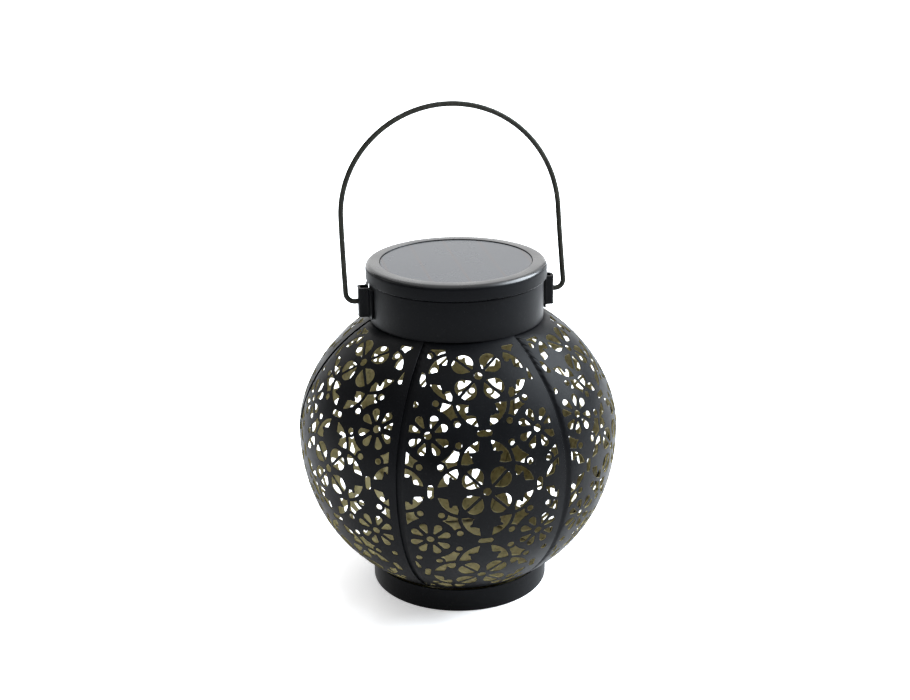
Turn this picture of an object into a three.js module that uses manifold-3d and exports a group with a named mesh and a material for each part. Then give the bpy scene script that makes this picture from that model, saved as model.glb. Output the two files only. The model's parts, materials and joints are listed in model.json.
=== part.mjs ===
// Solar lantern: a pierced globe of six overlapping metal gores between a base ring and a neck
// collar, a swinging wire bail, and a lift-off solar lid that holds the cells, battery and light.
//
// Frame: millimetres, +Z up, origin on the ground at the centre of the base ring.
// The bail's pivot line runs along X, and the front of the lantern faces -Y.

import * as THREE from "three";
import { mergeVertices } from "three/addons/utils/BufferGeometryUtils.js";
import Module from "manifold-3d";

const wasm = await Module();
wasm.setup();

// ---------------------------------------------------------------- driving dimensions

const GAP = 0.3; // clearance between pieces that touch on the real object

// Globe: a lathe profile made of two superellipse quarters that share the equator
const GLOBE_RADIUS = 77.5;
const EQUATOR_Z = 81;
const CROWN_HEIGHT = 68; // height of the upper quarter, if it closed on the axis
const CROWN_POWER = 1.86;
const BOWL_HEIGHT = 80; // depth of the lower quarter, if it closed on the axis
const BOWL_POWER = 2.13;
const SHEET = 0.6; // thickness of the pressed sheet
const GORES = 6;
const FIRST_SEAM_DEG = -1.6; // angle of the first gore's starting seam, from +X
const SEAM_CLEARANCE_DEG = 0.25;
const LAP_DEG = 4; // how far a gore's lip reaches under its neighbour
const LAP_ROOT_DEG = 2.5; // width of the step that carries the lip

// Base
const BASE_RADIUS = 43.3;
const BASE_HEIGHT = 11.6;
const FOOT_FLANGE = 5.5; // width of the hem turned in under the base ring
const BASE_PLATE_Z = 9.2;

// Neck collar
const COLLAR_RADIUS = 41.4;
const COLLAR_BOTTOM_Z = 136.4;
const COLLAR_TOP_Z = 155.9;
const COLLAR_LEDGE_RADIUS = 38.9; // inner edge of the ledge that the lid rests on

// Bail and its ears
const PIVOT_Z = 146.4;
const BAIL_WIRE = 2.5; // diameter
const BAIL_FOOT_X = 52.6; // half width of the legs at the pivot
const BAIL_RADIUS = 51; // radius of the arch
const BAIL_LEG = 38.5; // from the pivot to the start of the arch
const BAIL_BEND = 4;
const BAIL_LEAN_DEG = 10.3; // how far the bail leans back at rest
const BAIL_TIP_X = 43.1;
const EAR_REACH = 47; // outer face of the ear, from the axis
const EAR_HEIGHT = 14;
const EAR_WIDTH = 6.6;
const EAR_FLANGE_DEG = 11; // half angle that the ear's two flanges cover
const EAR_SHEET = 0.9;
const EAR_HOLE_PLAY = 0.35; // radial clearance of the wire in the ear's hole

// Solar lid: bezel
const RIM_RADIUS = 42.9;
const RIM_TOP_Z = 163.6;
const RIM_BOTTOM_Z = COLLAR_TOP_Z + GAP;
const RIM_ROUND = 2.5;
const RIM_WALL = 2;
const RIM_CHAMFER = 0.5;
const LEDGE_TOP_Z = 159.4; // the bezel's inner ledge, which the panel rests on
const LEDGE_BOTTOM_Z = 158.2;
const LEDGE_RADIUS = 30;

// Solar lid: the stack of the panel, from the ledge up
const PANEL_RADIUS = 36;
const STACK_GAP = 0.2;
const BACKER_THICKNESS = 1;
const CELL_THICKNESS = 0.35;
const CELL_MARGIN = 1.6; // from the cover's edge to the silicon
const CELL_SPACING = 0.7;
const CELLS = 4;
const COVER_RECESS = 0.4;

// Solar lid: housing
const SKIRT_RADIUS = 38.4;
const HOUSING_WALL = 1.5;
const FLOOR_Z = 142.5;
const FLOOR_THICKNESS = 1.8;
const FLOOR_TOP_Z = FLOOR_Z + FLOOR_THICKNESS;
const SKIRT_TOP_Z = 157.2;

// Battery: one AA cell lying along X
const BATTERY_Y = 13;
const BATTERY_Z = 152.3;
const BATTERY_RADIUS = 7.1;
const BATTERY_START_X = -24;
const BATTERY_END_X = 25;
const BAY_START_X = -28.2;
const BAY_END_X = 27;
const BAY_HALF_WIDTH = 7.4;
const BAY_TOP_Z = 156.5;
const BAY_WALL = 1.4;
const TONGUE_END_X = 33.2;
const TONGUE_HALF_WIDTH = 2.8;
const DOOR_THICKNESS = 1.5;
const DOOR_SCREW_X = 30.2;
const CONTACT_SHEET = 0.4;
const CONTACT_HALF_WIDTH = 4.5;
const CONTACT_BOTTOM_Z = 146;
const CONTACT_TOP_Z = 157;
const SPRING_WIRE = 0.7;

// Circuit board, switch and light
const BOARD_Z = 148.4;
const BOARD_THICKNESS = 1.6;
const BOARD_TOP_Z = BOARD_Z + BOARD_THICKNESS;
const BOARD_HALF_LENGTH = 18;
const BOARD_FRONT_Y = -24;
const BOARD_BACK_Y = 3;
const PART_GAP = 0.2; // solder joint between a component and the board
const SWITCH_X = -10;
const SWITCH_Y = -14;
const SWITCH_TRAVEL = 2;
const STEM_WIDTH = 1.9;
const LIGHT_RADIUS = 2.5;
const LIGHT_FLANGE_RADIUS = 2.9;
const LEAD_DIAMETER = 1.1;

// Screws that hold the housing to the bezel, and the posts around them
const SCREW_CIRCLE = 33;
const SCREW_ANGLES_DEG = [90, 210, 330];
const SCREW_HEAD_HEIGHT = 1.4;
const SCREW_HEAD_RADIUS = 1.8;
const SCREW_SHANK_RADIUS = 0.95;
const SCREW_SEAT_Z = 147.2;
const HOUSING_POST_RADIUS = 3;
const HOUSING_POST_TOP_Z = 152.2;
const BEZEL_POST_RADIUS = 2.8;
const BEZEL_POST_BOTTOM_Z = HOUSING_POST_TOP_Z + GAP;
const SCREW_BORE_TOP_Z = 157.9;

// How far a cutting tool or a joined block runs past the face it meets
const OVERRUN = 1;
const WELD = 0.5;

// ---------------------------------------------------------------- solids

const radians = THREE.MathUtils.degToRad;
const v2 = (x, y) => new THREE.Vector2(x, y);
const v3 = (x, y, z) => new THREE.Vector3(x, y, z);

function toSolid(geometry) {
  const bare = geometry.index ? geometry.toNonIndexed() : geometry.clone();
  bare.deleteAttribute("normal");
  bare.deleteAttribute("uv");
  const merged = mergeVertices(bare, 1e-4);
  return new wasm.Manifold(
    new wasm.Mesh({
      numProp: 3,
      vertProperties: merged.attributes.position.array,
      triVerts: new Uint32Array(merged.index.array),
    }),
  );
}

function toGeometry(solid) {
  const mesh = solid.getMesh();
  const geometry = new THREE.BufferGeometry();
  geometry.setAttribute("position", new THREE.BufferAttribute(mesh.vertProperties, 3));
  geometry.setIndex(new THREE.BufferAttribute(mesh.triVerts, 1));
  const faceted = geometry.toNonIndexed();
  faceted.computeVertexNormals();
  return faceted;
}

function join(...geometries) {
  return toGeometry(geometries.map(toSolid).reduce((a, b) => a.add(b)));
}

function cut(geometry, ...tools) {
  return toGeometry(tools.map(toSolid).reduce((a, b) => a.subtract(b), toSolid(geometry)));
}

function common(a, b) {
  return toGeometry(toSolid(a).intersect(toSolid(b)));
}

// A block given by its lowest and highest corners.
function block(x0, x1, y0, y1, z0, z1) {
  return new THREE.BoxGeometry(x1 - x0, y1 - y0, z1 - z0).translate(
    (x0 + x1) / 2,
    (y0 + y1) / 2,
    (z0 + z1) / 2,
  );
}

// An upright cylinder on the point (x, y), from z0 to z1.
function post(x, y, radius, z0, z1, sides = 20) {
  return new THREE.CylinderGeometry(radius, radius, z1 - z0, sides)
    .rotateX(Math.PI / 2)
    .translate(x, y, (z0 + z1) / 2);
}

// A body of revolution about Z from a closed outline of [radius, z] points, anticlockwise
// when seen with the radius to the right and Z up.
function revolve(outline, sides) {
  const closed = [...outline, outline[0]].map(([r, z]) => v2(r, z));
  return new THREE.LatheGeometry(closed, sides).rotateX(Math.PI / 2);
}

// A body of revolution whose outline starts and ends on the axis.
function revolveSolid(outline, sides) {
  return new THREE.LatheGeometry(
    outline.map(([r, z]) => v2(r, z)),
    sides,
  ).rotateX(Math.PI / 2);
}

// A flat plate: a 2D shape thickened from z0 to z1.
function plate(shape, z0, z1, curveSegments = 12) {
  return new THREE.ExtrudeGeometry(shape, {
    depth: z1 - z0,
    bevelEnabled: false,
    curveSegments,
  }).translate(0, 0, z0);
}

// A round rod along a curve. A circle is drawn with two sides for each curve segment.
function rod(curve, diameter, steps, sides) {
  const section = new THREE.Shape();
  section.absarc(0, 0, diameter / 2, 0, 2 * Math.PI);
  return new THREE.ExtrudeGeometry(section, {
    steps,
    curveSegments: sides / 2,
    extrudePath: curve,
    bevelEnabled: false,
  });
}

// A flat path drawn in the XZ plane.
class UprightCurve extends THREE.Curve {
  constructor(path) {
    super();
    this.path = path;
  }
  getPoint(t, target = new THREE.Vector3()) {
    const p = this.path.getPoint(t);
    return target.set(p.x, 0, p.y);
  }
}

class HelixAlongX extends THREE.Curve {
  constructor(startX, endX, startRadius, endRadius, turns) {
    super();
    Object.assign(this, { startX, endX, startRadius, endRadius, turns });
  }
  getPoint(t, target = new THREE.Vector3()) {
    const angle = 2 * Math.PI * this.turns * t;
    const radius = THREE.MathUtils.lerp(this.startRadius, this.endRadius, t);
    return target.set(
      THREE.MathUtils.lerp(this.startX, this.endX, t),
      radius * Math.cos(angle),
      radius * Math.sin(angle),
    );
  }
}

const lantern = new THREE.Group();

function addPiece(parent, name, geometry, colour, roughness, metalness) {
  const material = new THREE.MeshStandardMaterial({ color: colour, roughness, metalness });
  const mesh = new THREE.Mesh(geometry, material);
  mesh.name = name;
  parent.add(mesh);
  return mesh;
}

// ---------------------------------------------------------------- globe

// Point of the globe's outer profile at latitude t, from the equator (0) up or down.
function globePoint(t) {
  const upper = t >= 0;
  const power = upper ? CROWN_POWER : BOWL_POWER;
  const height = upper ? CROWN_HEIGHT : BOWL_HEIGHT;
  const rise = Math.sign(t) * height * Math.abs(Math.sin(t)) ** (2 / power);
  return v2(GLOBE_RADIUS * Math.cos(t) ** (2 / power), EQUATOR_Z + rise);
}

// The latitude whose profile point lies at height z.
function latitudeAt(z) {
  const upper = z >= EQUATOR_Z;
  const power = upper ? CROWN_POWER : BOWL_POWER;
  const height = upper ? CROWN_HEIGHT : BOWL_HEIGHT;
  const share = Math.abs(z - EQUATOR_Z) / height;
  return (upper ? 1 : -1) * Math.asin(share ** (power / 2));
}

const GLOBE_BOTTOM = latitudeAt(BASE_PLATE_Z + SHEET + GAP);
const GLOBE_TOP = latitudeAt(COLLAR_BOTTOM_Z - GAP);

// The outward normal of the profile at latitude t.
function globeNormal(t) {
  const step = 1e-3;
  const along = globePoint(t + step).sub(globePoint(t - step));
  return v2(along.y, -along.x).normalize();
}

// The globe's profile moved inwards by depth, from bottom to top.
function globeProfile(depth, steps) {
  const points = [];
  for (let i = 0; i <= steps; i++) {
    const t = THREE.MathUtils.lerp(GLOBE_BOTTOM, GLOBE_TOP, i / steps);
    points.push(globePoint(t).addScaledVector(globeNormal(t), -depth));
  }
  return points;
}

// A closed shell of revolution between two depths below the globe's outer surface.
function globeShell(outerDepth, innerDepth, steps, sides) {
  const outer = globeProfile(outerDepth, steps);
  const inner = globeProfile(innerDepth, steps).reverse();
  return revolve([...outer, ...inner].map((p) => [p.x, p.y]), sides);
}

// An upright wedge with its point on the axis, between two angles from +X in degrees.
function wedge(startDeg, endDeg) {
  const reach = 2 * GLOBE_RADIUS;
  const shape = new THREE.Shape();
  shape.moveTo(0, 0);
  for (const share of [0, 0.5, 1]) {
    const angle = radians(THREE.MathUtils.lerp(startDeg, endDeg, share));
    shape.lineTo(reach * Math.cos(angle), reach * Math.sin(angle));
  }
  shape.closePath();
  return plate(shape, 0, 2 * GLOBE_RADIUS);
}

// Flowers cut through each gore: how far across from its middle, how high, and their petals.
const FLOWERS = [
  { across: 0, z: 126, petals: 4, reach: 10.5, width: 7 },
  { across: -23, z: 104.5, petals: 4, reach: 10, width: 6.5 },
  { across: 23, z: 104.5, petals: 4, reach: 10, width: 6.5 },
  { across: 0, z: 79, petals: 8, reach: 12.8, width: 5.6 },
  { across: -24, z: 53, petals: 4, reach: 10, width: 6.5 },
  { across: 24, z: 53, petals: 4, reach: 10, width: 6.5 },
  { across: 0, z: 29.5, petals: 4, reach: 12, width: 8 },
];
const PETAL_START = 3.6; // from the flower's middle to the petal's point

// Round holes between the flowers
const EYELETS = [
  { across: 0, z: 104.5 },
  { across: -25, z: 79 },
  { across: 25, z: 79 },
  { across: 0, z: 53 },
];
const EYELET_RADIUS = 3;

// Extrudes a shape drawn on the sheet (x across, y up) right through the globe's wall.
function wallCutter(shape, middleDeg, across, z) {
  const depth = 8;
  const latitude = latitudeAt(z);
  const point = globePoint(latitude);
  const normal = globeNormal(latitude);
  return new THREE.ExtrudeGeometry(shape, { depth, bevelEnabled: false, curveSegments: 3 })
    .translate(0, 0, -depth / 2)
    .rotateX(Math.PI / 2)
    .rotateZ(Math.PI / 2)
    .rotateY(-Math.atan2(normal.y, normal.x))
    .translate(point.x, 0, point.y)
    .rotateZ(radians(middleDeg) + across / point.x);
}

// A petal: a point towards the flower's middle, two shoulders and a blunt end.
function petal(turn, reach, width) {
  const at = (distance, side) => v2(distance, side).rotateAround(v2(0, 0), turn);
  const shoulder = reach - 0.4 * width;
  const end = 0.2 * width;
  return new THREE.Shape([
    at(PETAL_START, 0),
    at(shoulder, -width / 2),
    at(reach, -end),
    at(reach, end),
    at(shoulder, width / 2),
  ]);
}

function piercing(middleDeg) {
  const tools = [];
  for (const { across, z, petals, reach, width } of FLOWERS) {
    for (let i = 0; i < petals; i++) {
      const turn = ((i + 0.5) / petals) * 2 * Math.PI;
      tools.push(wallCutter(petal(turn, reach, width), middleDeg, across, z));
    }
  }
  for (const { across, z } of EYELETS) {
    const circle = new THREE.Shape();
    circle.absarc(0, 0, EYELET_RADIUS, 0, 2 * Math.PI);
    tools.push(wallCutter(circle, middleDeg, across, z));
  }
  return tools;
}

// One gore: its face, a step inwards along one edge, and a lip that runs under the gore before it.
function gore(index) {
  const span = 360 / GORES;
  const start = FIRST_SEAM_DEG + index * span;
  const end = start + span;
  const overlap = 0.01;
  const sides = 4 * GORES;
  const rows = 8;
  const sheet = globeShell(0, SHEET, rows, sides);
  const step = globeShell(0, 2 * SHEET + GAP, rows, sides);
  const lip = globeShell(SHEET + GAP, 2 * SHEET + GAP, rows, sides);
  const face = common(sheet, wedge(start + LAP_ROOT_DEG, end - SEAM_CLEARANCE_DEG));
  const root = common(step, wedge(start + SEAM_CLEARANCE_DEG, start + LAP_ROOT_DEG + overlap));
  const lap = common(lip, wedge(start - LAP_DEG, start + SEAM_CLEARANCE_DEG + overlap));
  return cut(join(face, root, lap), ...piercing(start + span / 2));
}

const POWDER_BLACK = 0x1b1d1f;
for (let i = 0; i < GORES; i++) {
  addPiece(lantern, `gore_${i + 1}`, gore(i), POWDER_BLACK, 0.45, 0.6);
}

// ---------------------------------------------------------------- base and collar

const ROUND = 36; // sides of the large rings

const baseRing = revolve(
  [
    [BASE_RADIUS - FOOT_FLANGE, 0],
    [BASE_RADIUS, 0],
    [BASE_RADIUS, BASE_HEIGHT],
    [BASE_RADIUS - SHEET, BASE_HEIGHT],
    [BASE_RADIUS - SHEET, SHEET],
    [BASE_RADIUS - FOOT_FLANGE, SHEET],
  ],
  ROUND,
);
addPiece(lantern, "base_ring", baseRing, POWDER_BLACK, 0.4, 0.6);

const basePlate = post(
  0,
  0,
  BASE_RADIUS - SHEET - GAP,
  BASE_PLATE_Z,
  BASE_PLATE_Z + SHEET,
  ROUND,
);
addPiece(lantern, "base_plate", basePlate, 0x8a7c3e, 0.5, 0.6);

const collar = revolve(
  [
    [COLLAR_RADIUS - SHEET, COLLAR_BOTTOM_Z],
    [COLLAR_RADIUS, COLLAR_BOTTOM_Z],
    [COLLAR_RADIUS, COLLAR_TOP_Z],
    [COLLAR_LEDGE_RADIUS, COLLAR_TOP_Z],
    [COLLAR_LEDGE_RADIUS, COLLAR_TOP_Z - SHEET],
    [COLLAR_RADIUS - SHEET, COLLAR_TOP_Z - SHEET],
  ],
  ROUND,
);
addPiece(lantern, "neck_collar", collar, POWDER_BLACK, 0.4, 0.6);

// ---------------------------------------------------------------- ears

// A strip bent into a channel that stands off the collar, with a flange on either side.
function earOutline() {
  const inner = COLLAR_RADIUS + GAP;
  const outer = inner + EAR_SHEET;
  const half = EAR_WIDTH / 2;
  const flangeEnd = radians(EAR_FLANGE_DEG);
  const outerStart = Math.asin(half / outer);
  const innerStart = Math.asin((half - EAR_SHEET) / inner);
  const shape = new THREE.Shape();
  shape.absarc(0, 0, inner, -flangeEnd, -innerStart, false);
  shape.lineTo(EAR_REACH - EAR_SHEET, EAR_SHEET - half);
  shape.lineTo(EAR_REACH - EAR_SHEET, half - EAR_SHEET);
  shape.absarc(0, 0, inner, innerStart, flangeEnd, false);
  shape.absarc(0, 0, outer, flangeEnd, outerStart, true);
  shape.lineTo(EAR_REACH, half);
  shape.lineTo(EAR_REACH, -half);
  shape.absarc(0, 0, outer, -outerStart, -flangeEnd, true);
  shape.closePath();
  return shape;
}

function ear() {
  const strip = plate(earOutline(), PIVOT_Z - EAR_HEIGHT / 2, PIVOT_Z + EAR_HEIGHT / 2, 4);
  const holeRadius = BAIL_WIRE / 2 + EAR_HOLE_PLAY;
  const hole = new THREE.CylinderGeometry(holeRadius, holeRadius, 4 * EAR_SHEET, 16)
    .rotateZ(Math.PI / 2)
    .translate(EAR_REACH, 0, PIVOT_Z);
  return cut(strip, hole);
}

addPiece(lantern, "ear_right", ear(), POWDER_BLACK, 0.45, 0.6);
addPiece(lantern, "ear_left", ear(), POWDER_BLACK, 0.45, 0.6).rotation.z = Math.PI;

// ---------------------------------------------------------------- bail

// The wire's centre line: a pin, a bend and a leg on each side, with the arch between them.
function bailPath() {
  const path = new THREE.Path();
  const bendX = BAIL_FOOT_X - BAIL_BEND;
  path.moveTo(-BAIL_TIP_X, 0);
  path.lineTo(-bendX, 0);
  path.absarc(-bendX, BAIL_BEND, BAIL_BEND, -Math.PI / 2, -Math.PI, true);
  path.lineTo(-BAIL_RADIUS, BAIL_LEG);
  path.absarc(0, BAIL_LEG, BAIL_RADIUS, Math.PI, 0, true);
  path.lineTo(BAIL_FOOT_X, BAIL_BEND);
  path.absarc(bendX, BAIL_BEND, BAIL_BEND, 0, -Math.PI / 2, true);
  path.lineTo(BAIL_TIP_X, 0);
  return path;
}

const bailPivot = new THREE.Group();
bailPivot.position.z = PIVOT_Z;
bailPivot.rotation.x = -radians(BAIL_LEAN_DEG);
lantern.add(bailPivot);
const bail = rod(new UprightCurve(bailPath()), BAIL_WIRE, 72, 8);
addPiece(bailPivot, "bail_wire", bail, 0x1a1b17, 0.45, 0.7);

// ---------------------------------------------------------------- solar lid: bezel and panel

const lid = new THREE.Group();
lantern.add(lid);

function screwPoints() {
  return SCREW_ANGLES_DEG.map((deg) => [
    SCREW_CIRCLE * Math.cos(radians(deg)),
    SCREW_CIRCLE * Math.sin(radians(deg)),
  ]);
}

// The rim over the collar, with a rounded shoulder, a downward channel and a ledge inside.
function bezel() {
  const shoulder = [];
  for (let i = 0; i <= 4; i++) {
    const angle = (i / 4) * (Math.PI / 2);
    shoulder.push([
      RIM_RADIUS - RIM_ROUND * (1 - Math.cos(angle)),
      RIM_TOP_Z - RIM_ROUND * (1 - Math.sin(angle)),
    ]);
  }
  const rim = revolve(
    [
      [RIM_RADIUS - RIM_WALL, RIM_BOTTOM_Z],
      [RIM_RADIUS - RIM_CHAMFER, RIM_BOTTOM_Z],
      [RIM_RADIUS, RIM_BOTTOM_Z + RIM_CHAMFER],
      ...shoulder,
      [PANEL_RADIUS + GAP, RIM_TOP_Z],
      [PANEL_RADIUS + GAP, LEDGE_TOP_Z],
      [LEDGE_RADIUS, LEDGE_TOP_Z],
      [LEDGE_RADIUS, LEDGE_BOTTOM_Z],
      [COLLAR_LEDGE_RADIUS, LEDGE_BOTTOM_Z],
      [COLLAR_LEDGE_RADIUS, RIM_TOP_Z - RIM_WALL],
      [RIM_RADIUS - RIM_WALL, RIM_TOP_Z - RIM_WALL],
    ],
    ROUND,
  );
  const posts = screwPoints().map(([x, y]) =>
    post(x, y, BEZEL_POST_RADIUS, BEZEL_POST_BOTTOM_Z, LEDGE_BOTTOM_Z + WELD),
  );
  const boreRadius = SCREW_SHANK_RADIUS + 0.2;
  const bores = screwPoints().map(([x, y]) =>
    post(x, y, boreRadius, BEZEL_POST_BOTTOM_Z - OVERRUN, SCREW_BORE_TOP_Z, 12),
  );
  return cut(join(rim, ...posts), ...bores);
}

addPiece(lid, "lid_bezel", bezel(), 0x202326, 0.35, 0.3);

const BACKER_Z = LEDGE_TOP_Z + STACK_GAP;
const CELL_Z = BACKER_Z + BACKER_THICKNESS + STACK_GAP;
const COVER_Z = CELL_Z + CELL_THICKNESS + STACK_GAP;

const backer = post(0, 0, PANEL_RADIUS - STACK_GAP, BACKER_Z, BACKER_Z + BACKER_THICKNESS, ROUND);
addPiece(lid, "panel_backer", backer, 0xd8dad6, 0.7, 0);

// A strip of silicon: the part of a disc between two lines across it.
function cellStrip(index) {
  const radius = PANEL_RADIUS - CELL_MARGIN;
  const pitch = (2 * radius) / CELLS;
  const left = -radius + index * pitch + CELL_SPACING / 2;
  const right = left + pitch - CELL_SPACING;
  const top = CELL_Z + CELL_THICKNESS;
  const disc = post(0, 0, radius, CELL_Z, top, ROUND);
  return common(disc, block(left, right, -radius, radius, CELL_Z - OVERRUN, top + OVERRUN));
}

for (let i = 0; i < CELLS; i++) {
  addPiece(lid, `solar_cell_${i + 1}`, cellStrip(i), 0x1d2430, 0.35, 0.2);
}

const cover = post(0, 0, PANEL_RADIUS, COVER_Z, RIM_TOP_Z - COVER_RECESS, ROUND);
addPiece(lid, "panel_cover", cover, 0x9b9fa2, 0.1, 0);

// A flat ring squeezed between the housing's edge and the ledge.
const SEAL_MARGIN = 0.1;
const seal = revolve(
  [
    [SKIRT_RADIUS - HOUSING_WALL + SEAL_MARGIN, SKIRT_TOP_Z + STACK_GAP],
    [SKIRT_RADIUS - SEAL_MARGIN, SKIRT_TOP_Z + STACK_GAP],
    [SKIRT_RADIUS - SEAL_MARGIN, LEDGE_BOTTOM_Z - STACK_GAP],
    [SKIRT_RADIUS - HOUSING_WALL + SEAL_MARGIN, LEDGE_BOTTOM_Z - STACK_GAP],
  ],
  ROUND,
);
addPiece(lid, "housing_seal", seal, 0xb9b9b4, 0.8, 0);

// ---------------------------------------------------------------- solar lid: housing

// The four walls of the battery bay, as a solid block that the bay is then cut from.
function bayBlock() {
  return block(
    BAY_START_X - BAY_WALL,
    BAY_END_X + BAY_WALL,
    BATTERY_Y - BAY_HALF_WIDTH - BAY_WALL,
    BATTERY_Y + BAY_HALF_WIDTH + BAY_WALL,
    FLOOR_Z + WELD,
    BAY_TOP_Z,
  );
}

function bayCutter() {
  return block(
    BAY_START_X,
    BAY_END_X,
    BATTERY_Y - BAY_HALF_WIDTH,
    BATTERY_Y + BAY_HALF_WIDTH,
    FLOOR_Z - OVERRUN,
    BAY_TOP_Z + OVERRUN,
  );
}

// The recess under the floor that the battery door's tongue closes into.
function tongueCutter() {
  const play = 0.4;
  return block(
    BAY_END_X - OVERRUN,
    TONGUE_END_X + play,
    BATTERY_Y - TONGUE_HALF_WIDTH - play,
    BATTERY_Y + TONGUE_HALF_WIDTH + play,
    FLOOR_Z - OVERRUN,
    FLOOR_Z + DOOR_THICKNESS + GAP,
  );
}

// The block that the door's screw bites into, and its blind bore.
const SCREW_BLOCK_HALF_WIDTH = 5;
const SCREW_BLOCK_TOP_Z = 149.5;

function doorScrewBlock() {
  return block(
    BAY_END_X + WELD,
    TONGUE_END_X + GAP,
    BATTERY_Y - SCREW_BLOCK_HALF_WIDTH,
    BATTERY_Y + SCREW_BLOCK_HALF_WIDTH,
    FLOOR_TOP_Z - WELD,
    SCREW_BLOCK_TOP_Z,
  );
}

function switchCutter() {
  const halfLength = (STEM_WIDTH + SWITCH_TRAVEL) / 2 + 0.35;
  const halfWidth = STEM_WIDTH / 2 + 0.35;
  return block(
    SWITCH_X - halfLength,
    SWITCH_X + halfLength,
    SWITCH_Y - halfWidth,
    SWITCH_Y + halfWidth,
    FLOOR_Z - OVERRUN,
    FLOOR_TOP_Z + OVERRUN,
  );
}

function housing() {
  const cup = revolveSolid(
    [
      [0, FLOOR_Z],
      [SKIRT_RADIUS, FLOOR_Z],
      [SKIRT_RADIUS, SKIRT_TOP_Z],
      [SKIRT_RADIUS - HOUSING_WALL, SKIRT_TOP_Z],
      [SKIRT_RADIUS - HOUSING_WALL, FLOOR_TOP_Z],
      [0, FLOOR_TOP_Z],
    ],
    ROUND,
  );
  const posts = screwPoints().map(([x, y]) =>
    post(x, y, HOUSING_POST_RADIUS, FLOOR_TOP_Z - WELD, HOUSING_POST_TOP_Z),
  );
  const below = FLOOR_Z - OVERRUN;
  const bores = screwPoints().flatMap(([x, y]) => [
    post(x, y, SCREW_SHANK_RADIUS + GAP, below, HOUSING_POST_TOP_Z + OVERRUN, 12),
    post(x, y, SCREW_HEAD_RADIUS + GAP, below, SCREW_SEAT_Z, 16),
  ]);
  const doorScrewBore = post(DOOR_SCREW_X, BATTERY_Y, 1.6, FLOOR_Z, SCREW_BLOCK_TOP_Z - 0.7, 12);
  const lightHole = post(0, 0, LIGHT_RADIUS + GAP, below, FLOOR_TOP_Z + OVERRUN);
  return cut(
    join(cup, bayBlock(), doorScrewBlock(), ...posts),
    bayCutter(),
    tongueCutter(),
    ...bores,
    doorScrewBore,
    lightHole,
    switchCutter(),
  );
}

addPiece(lid, "module_housing", housing(), 0x17181a, 0.5, 0);

// A pan-head screw standing on its head, with a cross recess in it.
function screw(x, y, headZ, headRadius, shankRadius, length) {
  const chamfer = 0.5;
  const point = 1;
  const body = revolveSolid(
    [
      [0, 0],
      [headRadius - chamfer, 0],
      [headRadius, chamfer],
      [headRadius, SCREW_HEAD_HEIGHT],
      [shankRadius, SCREW_HEAD_HEIGHT],
      [shankRadius, SCREW_HEAD_HEIGHT + length - point],
      [0, SCREW_HEAD_HEIGHT + length],
    ],
    12,
  );
  const arm = headRadius * 0.6;
  const halfSlot = 0.25;
  const depth = 0.8;
  const crossed = cut(
    body,
    block(-arm, arm, -halfSlot, halfSlot, -OVERRUN, depth),
    block(-halfSlot, halfSlot, -arm, arm, -OVERRUN, depth),
  );
  return crossed.translate(x, y, headZ);
}

screwPoints().forEach(([x, y], i) => {
  const headZ = SCREW_SEAT_Z - PART_GAP - SCREW_HEAD_HEIGHT;
  const made = screw(x, y, headZ, SCREW_HEAD_RADIUS, SCREW_SHANK_RADIUS, 10);
  addPiece(lid, `housing_screw_${i + 1}`, made, 0xb8bcc0, 0.3, 1);
});

// ---------------------------------------------------------------- battery and contacts

// A steel can with rounded ends and the raised positive nub.
function batteryCell() {
  const chamfer = 0.5;
  const nubRadius = 2.75;
  const nubHeight = 1;
  const profile = revolveSolid(
    [
      [0, BATTERY_START_X],
      [BATTERY_RADIUS - chamfer, BATTERY_START_X],
      [BATTERY_RADIUS, BATTERY_START_X + chamfer],
      [BATTERY_RADIUS, BATTERY_END_X - chamfer],
      [BATTERY_RADIUS - chamfer, BATTERY_END_X],
      [nubRadius, BATTERY_END_X],
      [nubRadius, BATTERY_END_X + nubHeight],
      [0, BATTERY_END_X + nubHeight],
    ],
    28,
  );
  return profile.rotateY(Math.PI / 2).translate(0, BATTERY_Y, BATTERY_Z);
}

addPiece(lid, "battery_cell", batteryCell(), 0x2f7d4a, 0.4, 0.1);

// A plate of spring sheet that stands across the end of the bay, from x on.
function contactSheet(x) {
  const low = BATTERY_Y - CONTACT_HALF_WIDTH;
  const high = BATTERY_Y + CONTACT_HALF_WIDTH;
  return block(x, x + CONTACT_SHEET, low, high, CONTACT_BOTTOM_Z, CONTACT_TOP_Z);
}

const contactX = BAY_END_X - GAP - CONTACT_SHEET;
addPiece(lid, "battery_contact", contactSheet(contactX), 0xc9c6bd, 0.3, 1);

function springContact() {
  const sheetX = BAY_START_X + 0.2;
  const start = sheetX + CONTACT_SHEET + 0.1;
  const end = BATTERY_START_X - SPRING_WIRE;
  const helix = new HelixAlongX(start, end, 3.6, 2.4, 2.5);
  const coil = rod(helix, SPRING_WIRE, 25, 6).translate(0, BATTERY_Y, BATTERY_Z);
  return join(contactSheet(sheetX), coil);
}

addPiece(lid, "battery_spring", springContact(), 0xc9c6bd, 0.3, 1);

// ---------------------------------------------------------------- circuit board and light

const board = block(
  -BOARD_HALF_LENGTH,
  BOARD_HALF_LENGTH,
  BOARD_FRONT_Y,
  BOARD_BACK_Y,
  BOARD_Z,
  BOARD_TOP_Z,
);
addPiece(lid, "circuit_board", board, 0x2e6b3a, 0.5, 0);

const CHIP_LENGTH = 4.6;
const CHIP_WIDTH = 3.6;
const CHIP_HEIGHT = 1.6;
const partZ = BOARD_TOP_Z + PART_GAP;
const chip = new THREE.BoxGeometry(CHIP_LENGTH, CHIP_WIDTH, CHIP_HEIGHT).translate(
  8.3,
  -16.2,
  partZ + CHIP_HEIGHT / 2,
);
addPiece(lid, "charge_chip", chip, 0x151515, 0.6, 0);

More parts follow.
